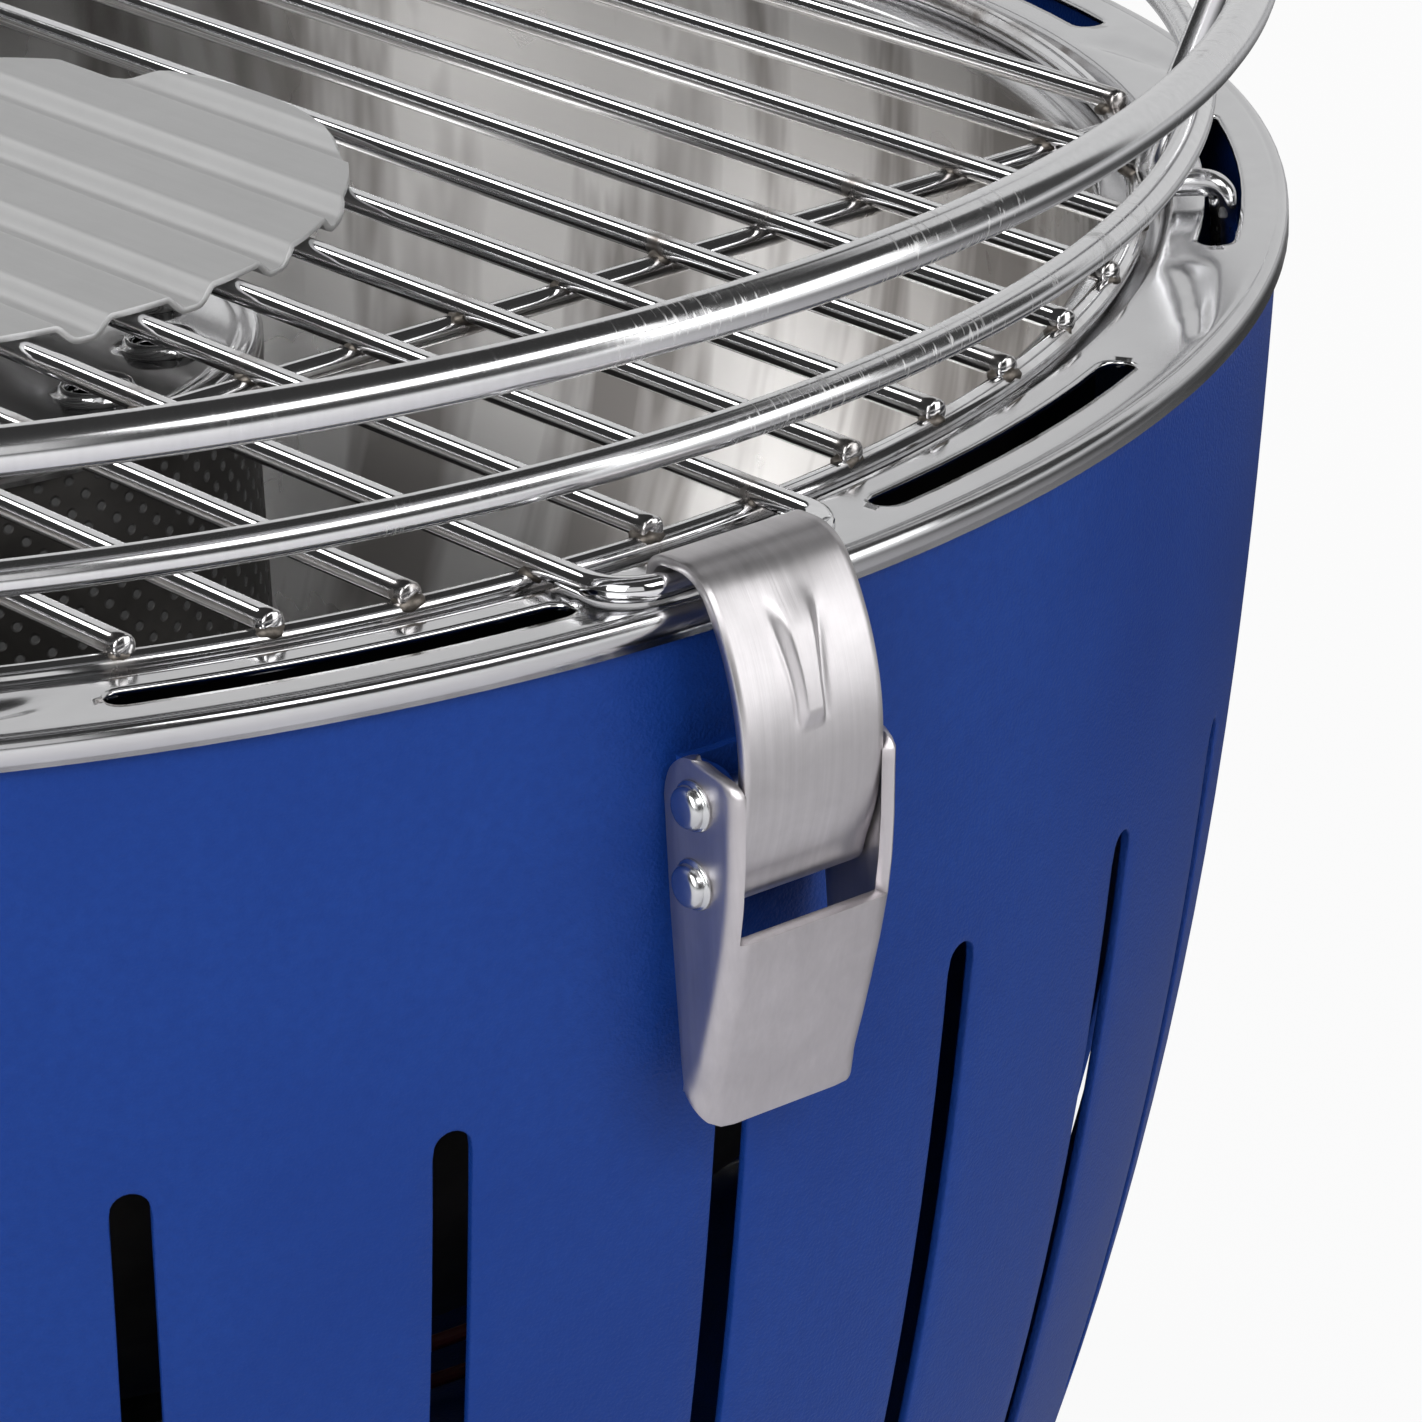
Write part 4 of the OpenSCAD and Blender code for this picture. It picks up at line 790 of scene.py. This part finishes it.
corner = np.radians(np.linspace(0, 90, 10))
corner_x, corner_y = PITCH - LOOP_CORNER, LOOP_Y - LOOP_CORNER
quarter = np.stack([corner_x + LOOP_CORNER * np.cos(corner),
                    corner_y + LOOP_CORNER * np.sin(corner)], -1)
straight_y = np.linspace(-corner_y, corner_y, 120)[1:-1]
side_line = np.stack([np.full(len(straight_y), PITCH), straight_y], -1)
half_loop = np.concatenate([side_line, quarter, quarter[::-1] * (-1, 1)])
loop_path = np.concatenate([half_loop, half_loop * (-1, -1)])
loop_path = np.concatenate([loop_path, np.full((len(loop_path), 1), BAR_Z)], 1)
loop_part = wire(loop_path, WIRE_R, UPWARD, closed=True)
piece("grate_loop_wire", [loop_part], chrome, "grate", ["grate_loop"],
      {"scorch": scorch(loop_part[0], False)})

ring_part = wire(circle_path(RING_R, RING_Z, 480), WIRE_R, UPWARD, closed=True)
piece("grate_ring_wire", [ring_part], chrome, "grate", ["grate_ring"],
      {"scorch": scorch(ring_part[0], True)})

rod_half = math.sqrt(RING_R**2 - ROD_Y**2)
rod_parts = [wire(line((-rod_half, y, RING_Z), (rod_half, y, RING_Z), 200), WIRE_R, UPWARD)
             for y in (-ROD_Y, ROD_Y)]
piece("grate_cross_rods_wire", rod_parts, chrome, "grate", ["grate_cross_rods"],
      {"scorch": scorch(np.concatenate([p for p, _ in rod_parts]), True)})


# ---------------------------------------------------------------- weld lumps
# Where a bar crosses the ring or a cross rod, the spot weld squeezed out a dark uneven bead
# between the two wires.
BEAD_SIZES, BEAD_OFF = (1.45, 1.95), 0.35


def lump(size, seed):
    """A closed bead, flatter in height: radius size (1 + 0.22 sin(3 t + s) sin(2 f) + 0.15
    cos(5 t + 2 s) sin(f))."""
    f = np.linspace(0, np.pi, 7)[:, None]
    t = np.linspace(0, 2 * np.pi, 10, endpoint=False)[None, :]
    r = size * (1 + 0.22 * np.sin(3 * t + seed) * np.sin(2 * f)
                + 0.15 * np.cos(5 * t + 2 * seed) * np.sin(f))
    points = np.stack([1.15 * r * np.sin(f) * np.cos(t), r * np.sin(f) * np.sin(t),
                       -0.62 * r * np.cos(f) * np.ones_like(t)], -1)
    return points.reshape(-1, 3), grid(7, 10, wrap=True)


cross_x = PITCH * np.arange(-SIDE_BARS, SIDE_BARS + 1)
on_ring = [(x, side * math.sqrt(RING_R**2 - x * x), (BAR_Z + RING_Z) / 2)
           for x in cross_x for side in (-1, 1)]
on_rods = [(x, side * ROD_Y, (BAR_Z + RING_Z) / 2)
           for x in cross_x if abs(x) < rod_half for side in (-1, 1)]
chance = np.random.default_rng(7)
weld_parts = []
for spot in on_ring + on_rods:
    shape, quads = lump(chance.uniform(*BEAD_SIZES), chance.uniform(0, 6.28))
    off = np.append(chance.uniform(-BEAD_OFF, BEAD_OFF, 2), 0)
    weld_parts.append((shape + spot + off, quads))
weld_steel = metal("scorched_weld", (0.10, 0.085, 0.07, 1), (0.34, 0.31, 0.28, 1), (0.30, 0.55),
                   (700.0, 700.0, 700.0, 0.5), patina_scale=300.0, stains=0.5)
piece("grate_welds", weld_parts, weld_steel, "grate", [])


# ---------------------------------------------------------------- rails and posts
# Two rails of bent and butt-welded chromed wire, 4 mm and 5.4 mm, carried by four posts that
# run from the upper rail down through slots of the flange.
RAIL_LOW, RAIL_TOP = (164.78, 214.8, 2.0), (172.36, 231.3, 2.7)
POST_R = 1.7
POST_ANGLES = (47, 145, -145, -47)
POST_FOOT_R, WELD_SINK = RING_R + 1.2, 0.5
RAIL_DARK, RAIL_LIGHT = (0.68, 0.68, 0.69, 1), (0.82, 0.82, 0.83, 1)
SCUFF_GREY, TICK_BRIGHT = (0.5, 0.5, 0.5, 1), (0.90, 0.90, 0.90, 1)


def rail_metal():
    """Chrome with patches of fine scuffs where pans slid over it, and in them short ticks
    across the wire."""
    made, tree = empty_material("scuffed_chrome")
    cloud = use(tree, PATINA, {"Scale": 28.0})["Value"]
    spots = use(tree, PATINA, {"Scale": 240.0})["Value"]
    marks = brushed(tree, (900.0, 900.0, 60.0, 0.5))
    worn = node(tree, "Math", {0: cloud, 1: spots}, operation="MULTIPLY").outputs[0]
    scuff = node(tree, "MapRange", {"Value": worn, "From Min": 0.45, "From Max": 0.95}).outputs[0]
    base = mixed(tree, marks["Value"], RAIL_DARK, RAIL_LIGHT)
    ticks = use(tree, ROUND_NOISE, {"Around": 330.0, "Up": 420.0, "Detail": 2.0, "Roughness": 0.5,
                                    "Distortion": 0.0})["Value"]
    tick = node(tree, "MapRange", {"Value": ticks, "From Min": 0.56, "From Max": 0.66}).outputs[0]
    there = node(tree, "MapRange", {"Value": cloud, "From Min": 0.45, "From Max": 0.75}).outputs[0]
    scratch = node(tree, "Math", {0: tick, 1: there}, operation="MULTIPLY").outputs[0]
    dulled = mixed(tree, scuff, base, SCUFF_GREY)
    rough = node(tree, "Math", {0: scratch, 1: 0.30, 2: spread(tree, scuff, 0.17, 0.45)},
                 operation="MULTIPLY_ADD")
    surface = node(tree, "BsdfPrincipled", {
        "Base Color": mixed(tree, scratch, dulled, TICK_BRIGHT), "Metallic": 1.0,
        "Roughness": rough.outputs[0]})
    node(tree, "OutputMaterial", {"Surface": surface.outputs[0]})
    return made


def smooth_path(points, steps):
    """Catmull-Rom curve through the points, with that many steps between two of them."""
    p = np.asarray(points, float)
    p = np.concatenate([[2 * p[0] - p[1]], p, [2 * p[-1] - p[-2]]])
    t = np.linspace(0, 1, steps, endpoint=False)[None, :, None]
    a, b, c, d = (p[i:len(p) - 3 + i, None, :] for i in range(4))
    curve = 0.5 * (2 * b + (c - a) * t + (2 * a - 5 * b + 4 * c - d) * t**2
                   + (3 * b - a - 3 * c + d) * t**3)
    return np.concatenate([curve.reshape(-1, p.shape[1]), p[-2:-1]])


def post(angle):
    """A smooth path of (radius, height), turned to the post's angle: down the inside of both
    rails, out at the ring and down through the slot."""
    top_r, mid_r = (radius - wire_r - POST_R + WELD_SINK for radius, _, wire_r in
                    (RAIL_TOP, RAIL_LOW))
    foot_z = RIM_Z + POST_R + 0.9
    side_view = smooth_path([
        (top_r + 0.4, RAIL_TOP[1] + 1.2), (mid_r, RAIL_LOW[1]), (POST_FOOT_R + 0.5, foot_z + 4),
        (POST_FOOT_R + 0.2, foot_z + 1.5), (POST_FOOT_R + 1.6, foot_z + 0.1),
        (RIM_SLOT_R - 2.4, foot_z), (RIM_SLOT_R - 0.4, foot_z - 1.0), (RIM_SLOT_R, foot_z - 3.0),
        (RIM_SLOT_R, RIM_Z - 8)], 8)
    a = math.radians(angle)
    out, along = np.array([math.sin(a), -math.cos(a), 0]), np.array([math.cos(a), math.sin(a), 0])
    path = side_view[:, :1] * out + side_view[:, 1:] * UPWARD
    return wire(path, POST_R, along, chamfer=0.5)


scuffed = rail_metal()
for name, (radius, z, wire_r) in {"rail_lower": RAIL_LOW, "rail_upper": RAIL_TOP}.items():
    piece(name + "_wire", [wire(circle_path(radius, z, 400), wire_r, UPWARD, 24, closed=True)],
          scuffed, "grate", [name])
piece("rail_posts_wire", [post(a) for a in POST_ANGLES], scuffed, "grate",
      ["rail_posts"])


# ---------------------------------------------------------------- centre plate
# A corrugated disc of satin sheet steel, 0.8 mm, that lies over the middle bars: an arch over
# each bar and a groove between two bars, with its edge sheared off round.
PLATE_R, PLATE_T, GROOVE = 59.5, 0.8, 2.0
PLATE_UNDER_Z = BAR_Z + WIRE_R + 0.2


def plate_surface():
    """Strips across X, each from -h to h with h = sqrt(R^2 - x^2), at the height of the wave: 0
    on the arch, down by the groove's depth where the share of the pitch passes 0.42."""
    x = np.concatenate([[-PLATE_R], np.linspace(-PLATE_R + 0.05, PLATE_R - 0.05, 241), [PLATE_R]])
    share = np.abs(x / PITCH - np.round(x / PITCH))
    fall = np.clip((share - 0.26) / 0.18, 0, 1)
    z = PLATE_UNDER_Z + PLATE_T - GROOVE * fall * fall * (3 - 2 * fall)
    v = np.sin(np.linspace(-np.pi / 2, np.pi / 2, 41))
    y = np.sqrt(np.maximum(PLATE_R**2 - x**2, 0))[:, None] * v
    points = np.stack(np.broadcast_arrays(x[:, None], y, z[:, None]), -1).reshape(-1, 3)
    return points, grid(len(x), len(v))[:, ::-1]


satin = metal("satin_steel", (0.76, 0.76, 0.76, 1), (0.84, 0.84, 0.84, 1), (0.54, 0.66),
              (800.0, 25.0, 60.0, 0.12), patina_scale=10.0, stains=0.08)
plate = piece("centre_plate_corrugated", [plate_surface()], satin, "grate",
              ["centre_plate"])
thicken(plate, PLATE_T, 0.15)


# ---------------------------------------------------------------- latch claw
# A spring steel strip, 1.2 mm, rolled round its pin at the bottom and hooked over the grate's
# loop at the top, with a rib pressed into its middle.
PIVOT_Q, PIVOT_Z = 177.5, 179.5
PIN_Q, PIN_Z = 176.9, 170.2
CLAW_HALF, CLAW_T = 9.5, 1.2
HOOK_R, BEND_R = 3.3, 6.5
CLAW_ARC_R, CLAW_ARC_Q, CLAW_ARC_Z = 33.1, 151.2, 186.2
RIB_OUT, RIB_HALF, RIB_LENGTH = 0.75, 1.5, 13.4


def arc(q, z, radius, start, end, steps):
    """Points of an arc in the side view, by its angles in degrees."""
    a = np.radians(np.linspace(start, end, steps))
    return np.stack([q + radius * np.cos(a), z + radius * np.sin(a)], -1)


def from_side(q, z, x, rear):
    """Side-view places (distance from the axis, height, place across) in the frame."""
    q, z, x = np.broadcast_arrays(q, z, x)
    turn = -1 if rear else 1
    return np.stack([turn * x, -turn * q, z], -1).reshape(-1, 3)


def claw_surface(rear):
    """Outside of the strip: point (i, j) is place i of the side view, pushed out by the height
    at (i, x_j). The side view goes round the eye, up the big arc, round the bend and over the
    wire. The rib is 3 mm wide at its lower end, 13 mm below the rim, and
    widens and fades out up into the bend. A narrow groove runs along its foot."""
    top_z = BAR_Z + HOOK_R
    bend_z, reach = top_z - BEND_R, CLAW_ARC_R - BEND_R
    bend_a = math.degrees(math.asin((bend_z - CLAW_ARC_Z) / reach))
    bend_q = CLAW_ARC_Q + reach * math.cos(math.radians(bend_a))
    side = np.concatenate([
        arc(PIN_Q, PIN_Z, 3.2, -170, -12, 16),
        arc(CLAW_ARC_Q, CLAW_ARC_Z, CLAW_ARC_R, -27.5, bend_a, 60),
        arc(bend_q, bend_z, BEND_R, bend_a + 6, 90, 12),
        arc(LOOP_Y, BAR_Z, HOOK_R, 90, 190, 16)])
    way = np.gradient(side, axis=0)
    way /= np.linalg.norm(way, axis=1)[:, None]
    out = np.stack([way[:, 1], -way[:, 0]], -1)
    x = np.concatenate([np.linspace(-CLAW_HALF, -3.4, 8), np.linspace(-3.1, 3.1, 32),
                        np.linspace(3.4, CLAW_HALF, 8)])
    below = RIM_Z - side[:, 1][:, None]
    half = RIB_HALF + 1.7 * np.clip(1 - below / 10, 0, 1) ** 1.5
    ridge = np.clip((half + 0.35 - np.abs(x)) / (0.55 * half), 0, 1)
    ridge = ridge * ridge * (3 - 2 * ridge)
    fade = np.clip((below + 1.2) / 5.5, 0, 1)
    along = fade * fade * (3 - 2 * fade) * np.clip((RIB_LENGTH - below) / 1.2, 0, 1)
    groove = 0.12 * np.exp(-((np.abs(x) - half - 0.5) / 0.5) ** 2)
    swell = 0.30 * np.exp(-((below - 0.6) / 3.5) ** 2) * np.exp(-(x / 4.5) ** 2)
    on_front = (side[:, 0] > bend_q + 1)[:, None]
    height = ((RIB_OUT * ridge - groove) * along + swell) * on_front
    q = side[:, :1] + out[:, :1] * height
    z = side[:, 1:] + out[:, 1:] * height
    return from_side(q, z, x[None, :], rear), grid(len(side), len(x))


def eye_shape(rear):
    """The core of the strip's rolled end, a bar across the claw with flat ends: (r_i cos a,
    r_i sin a) round the pin at x_i."""
    a = np.linspace(0, 2 * np.pi, 24, endpoint=False)
    end = CLAW_HALF - 0.02
    rows = [(0.0, -end), (2.1, -end), (2.9, -end), (3.1, 0.2 - end), (3.1, end - 0.2), (2.9, end),
            (2.1, end), (0.0, end)]
    r, x = np.array(rows).T
    points = from_side(PIN_Q + r[:, None] * np.cos(a), PIN_Z + r[:, None] * np.sin(a), x[:, None],
                       rear)
    return points, grid(len(rows), len(a), wrap=True)[:, ::-1]


claw_steel = metal("brushed_spring_steel", (0.56, 0.54, 0.55, 1), (0.76, 0.735, 0.75, 1),
                   (0.26, 0.40), (1100.0, 22.0, 22.0, 0.40), stains=0.25)
for end in ("front", "rear"):
    claw = piece(f"latch_claw_{end}_strip", [claw_surface(end == "rear")], claw_steel,
                 f"claw_{end}", [f"latch_claw_{end}"])
    thicken(claw, CLAW_T, 0.2)
    piece(f"latch_claw_{end}_eye", [eye_shape(end == "rear")], claw_steel, f"claw_{end}",
          [])


# ---------------------------------------------------------------- latch lever
# One blank of 1.4 mm steel: two ears folded back round the pivot, a front plate that curves in
# to the bowl at the bottom, and a window above it where the claw shows.
LEVER_HALF, LEVER_T, FOLD_R = 11.4, 1.4, 2.6
WINDOW_Z, LEVER_LOW_Z = RIM_Z - 36.6, RIM_Z - 61.6
FRONT_LINE = np.array([(139.4, 174.7), (147.0, 177.4), (153.4, 179.7), (159.0, 181.6),
                       (164.4, 183.2), (169.0, 184.2), (174.0, 184.9), (182.1, 185.6),
                       (183.4, 184.6), (184.0, 181.5), (184.55, 179.6), (184.7, 178.7)])
REAR_LINE = np.array([(139.4, 172.7), (141.4, 172.9), (154.0, 172.6), (166.2, 172.3),
                      (179.5, 172.3), (181.0, 172.6), (182.6, 173.35), (183.7, 174.4),
                      (184.4, 175.5), (184.55, 175.9), (184.7, 176.5)])
LOW_CORNERS = {-1: 5.0, 1: 2.5}


def lever_surface(rear):
    """Rows by height, columns round the fold: ear from the rear line forward, a quarter turn of
    the fold, the front, and back again. The faces of the front above the window's lower edge
    are left out, and the bottom row curls up by R - sqrt(R^2 - d^2) at its corners."""
    z = np.concatenate([np.linspace(LEVER_LOW_Z, 153, 14), np.linspace(153, WINDOW_Z, 9)[1:],
                        [WINDOW_Z + 0.01], np.linspace(WINDOW_Z, 182, 14)[1:],
                        [182.8, 183.5, 184.0, 184.35, 184.6, 184.7]])
    front = np.interp(z, FRONT_LINE[:, 0], FRONT_LINE[:, 1])
    back = np.interp(z, REAR_LINE[:, 0], REAR_LINE[:, 1])
    fold = np.minimum(FOLD_R, 0.85 * (front - back))
    ear = np.linspace(0, 1, 7)[:-1]
    turn = np.radians(np.linspace(0, 90, 9))
    face = np.linspace(0, 1, 12)[1:-1]
    ear_q = back[:, None] + (front - fold - back)[:, None] * ear
    turn_q = (front - fold)[:, None] + fold[:, None] * np.sin(turn)
    turn_x = LEVER_HALF - fold[:, None] * (1 - np.cos(turn))
    face_x = (LEVER_HALF - fold)[:, None] * (1 - 2 * face)
    ones = np.ones((len(z), 1))
    q = np.concatenate([ear_q, turn_q, ones * front[:, None] * np.ones(len(face)), turn_q[:, ::-1],
                        ear_q[:, ::-1]], 1)
    x = np.concatenate([np.full(ear_q.shape, LEVER_HALF), turn_x, face_x, -turn_x[:, ::-1],
                        np.full(ear_q.shape, -LEVER_HALF)], 1)
    curl = np.zeros_like(x)
    for side, radius in LOW_CORNERS.items():
        past = np.clip(side * x - (LEVER_HALF - radius), 0, radius)
        curl += radius - np.sqrt(radius**2 - past**2)
    fade = np.clip(1 - (z - LEVER_LOW_Z) / 9, 0, 1)[:, None]
    height = z[:, None] + curl * fade
    points = from_side(q, height, x, rear)
    first, last = len(ear) + 5, x.shape[1] - len(ear) - 7
    columns = np.arange(x.shape[1] - 1)
    opening = (z[:-1] >= WINDOW_Z)[:, None] & ((columns >= first) & (columns <= last))[None, :]
    return points, grid(len(z), x.shape[1], keep=~opening)[:, ::-1]


lever_steel = metal("brushed_steel", (0.52, 0.495, 0.51, 1), (0.68, 0.65, 0.665, 1), (0.30, 0.44),
                    (1000.0, 1000.0, 16.0, 0.42), stains=0.25)
for end in ("front", "rear"):
    lever = piece(f"latch_lever_{end}_folded", [lever_surface(end == "rear")], lever_steel,
                  f"lever_{end}", [f"latch_lever_{end}"])
    thicken(lever, LEVER_T, 0.2, 2)


# ---------------------------------------------------------------- rivets
# Zinc-plated rivets, whose 6 mm heads have a flat top, a round edge and a narrow ring: one is
# the lever's pivot in the bracket, the other carries the claw's eye in the lever.
HEAD = [(0, 1.8), (1.5, 1.77), (1.95, 1.66), (2.25, 1.44), (2.45, 1.1), (2.5, 0.75), (2.55, 0.5),
        (2.75, 0.45), (2.93, 0.3), (3.0, 0.05), (2.0, 0.0), (2.0, -11.5), (0, -11.5)]


def rivet(q, z, rear):
    """Both heads and the shank across the latch: (r_i cos a, r_i sin a) round the rivet's axis
    at the profile's distance out from each ear."""
    a = np.linspace(0, 2 * np.pi, 32, endpoint=False)
    r, out = np.array(HEAD).T
    both = []
    for side in (-1, 1):
        x = side * (LEVER_HALF + 0.05 + out)
        points = from_side(q + r[:, None] * np.cos(a), z + r[:, None] * np.sin(a), x[:, None], rear)
        quads = grid(len(r), len(a), wrap=True)
        both.append((points, quads if side == 1 else quads[:, ::-1]))
    return both


plated = metal("zinc_plate", (0.58, 0.59, 0.60, 1), (0.76, 0.77, 0.78, 1), (0.14, 0.26),
               (300.0, 300.0, 300.0, 0.1), patina_scale=60.0, stains=0.15)
for end in ("front", "rear"):
    piece(f"pivot_rivet_{end}_turned", rivet(PIVOT_Q, PIVOT_Z, end == "rear"), plated, "base",
          [f"pivot_rivet_{end}"])
    piece(f"claw_pin_{end}_turned", rivet(PIN_Q, PIN_Z, end == "rear"), plated, f"lever_{end}",
          [f"claw_pin_{end}"])


# ---------------------------------------------------------------- control knob
# A moulded black knob on the fan's control shaft, at the right of the bowl, with finger flutes
# round it and a raised pointer on its face.
KNOB_Z, FLUTES, FLUTE_DEPTH = 30.0, 18, 0.06
POINTER_HALF_W, POINTER_HALF_L, POINTER_OUT = 1.1, 5.0, 6.5
knob_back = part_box("control_knob")[0][0] / MM


def knob_surface():
    """Turned about X: r = R (1 - depth w cos^2(9 t)) with w the share of the grip at that row."""
    x = np.array([0, 0, 0.4, 1.2, 3, 6, 9, 12, 13.6, 14.6, 15.3, 15.7, 15.7, 15.4, 15.4])
    r = np.array([0, 15.4, 15.9, 16, 16, 16, 16, 16, 15.9, 15.5, 14.8, 13.6, 12.4, 11.8, 0])
    grip = np.array([0, 0, 0, 0, 0.7, 1, 1, 1, 1, 0.8, 0.3, 0, 0, 0, 0])
    t = np.linspace(0, 2 * np.pi, FLUTES * 10, endpoint=False)
    wide = r[:, None] * (1 - FLUTE_DEPTH * grip[:, None] * np.cos(FLUTES * t / 2) ** 2)
    points = np.stack(np.broadcast_arrays(knob_back + x[:, None], wide * np.cos(t),
                                          KNOB_Z + wide * np.sin(t)), -1).reshape(-1, 3)
    return points, grid(len(x), len(t), wrap=True)


def pointer_surface():
    """Raised bar from the middle to the edge of the knob's face, with rounded edges: y = w
    |cos u|^0.35 and z = l |sin u|^0.35, each with its sign, times the share of the row."""
    u = np.linspace(0, 2 * np.pi, 40, endpoint=False)
    y = POINTER_HALF_W * np.sign(np.cos(u)) * np.abs(np.cos(u)) ** 0.35
    z = POINTER_HALF_L * np.sign(np.sin(u)) * np.abs(np.sin(u)) ** 0.35
    rows = [(15.0, 0.0), (15.0, 1.0), (15.9, 1.0), (16.15, 0.93), (16.25, 0.8), (16.25, 0.0)]
    points = [np.stack([np.full(u.shape, knob_back + x), y * share,
                        KNOB_Z + POINTER_OUT + z * share], -1) for x, share in rows]
    return np.concatenate(points), grid(len(rows), len(u), wrap=True)


plastic = coat("black_plastic", (0.012, 0.012, 0.013, 1), (0.030, 0.030, 0.032, 1), (0.40, 0.55),
               (1900.0, 0.22, 0.0002))
pale_plastic = coat("pointer_white", (0.55, 0.55, 0.54, 1), (0.68, 0.68, 0.66, 1), (0.35, 0.5),
                    (1200.0, 0.1, 0.0001))
piece("control_knob_moulded", [knob_surface()], plastic, "knob",
      ["control_knob"])
piece("control_knob_pointer", [pointer_surface()], pale_plastic, "knob", [])


# ---------------------------------------------------------------- pieces that keep the CAD shape
# Fan, motor, shield, battery case and cells, switch, brackets and screws are simple pressed,
# turned or moulded pieces inside the bowl, so only their finish is made here.
CELL_COLOURS = (0.03, 0.035, 0.04, 1), (0.10, 0.11, 0.12, 1)
sleeve = coat("cell_sleeve", *CELL_COLOURS, (0.22, 0.34), (900.0, 0.1, 0.0001))
can = metal("motor_can", (0.44, 0.45, 0.46, 1), (0.62, 0.63, 0.64, 1), (0.24, 0.38),
            (60.0, 60.0, 900.0, 0.25), stains=0.2)
case = coat("switch_case", (0.02, 0.05, 0.03, 1), (0.04, 0.08, 0.05, 1), (0.35, 0.5),
            (1400.0, 0.15, 0.0002))
lead = coat("lead_sleeve", (0.10, 0.006, 0.005, 1), (0.16, 0.012, 0.010, 1), (0.38, 0.5),
            (700.0, 0.1, 0.0001))
shield_steel = metal("zinc_sheet", (0.24, 0.24, 0.25, 1), (0.38, 0.38, 0.39, 1), (0.28, 0.45),
                     (90.0, 90.0, 90.0, 0.12), patina_scale=45.0, stains=0.3)
KEPT = {
    paint: ["latch_bracket_front", "latch_bracket_rear"],
    plastic: ["fan_housing", "fan_cover", "fan_rotor", "battery_case", "battery_lid", "knob_bezel"],
    plated: ["foot_screws", "housing_screws", "fan_shaft", "control_shaft", "battery_contacts"],
    shield_steel: ["heat_shield", "switch_bracket", "ignition_tray"],
    can: ["fan_motor"],
    sleeve: ["battery_cells"],
    case: ["switch_body"],
    lead: ["wiring"],
}
for material, names in KEPT.items():
    for name in names:
        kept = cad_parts[name]
        for slot in kept.material_slots:
            slot.material = material
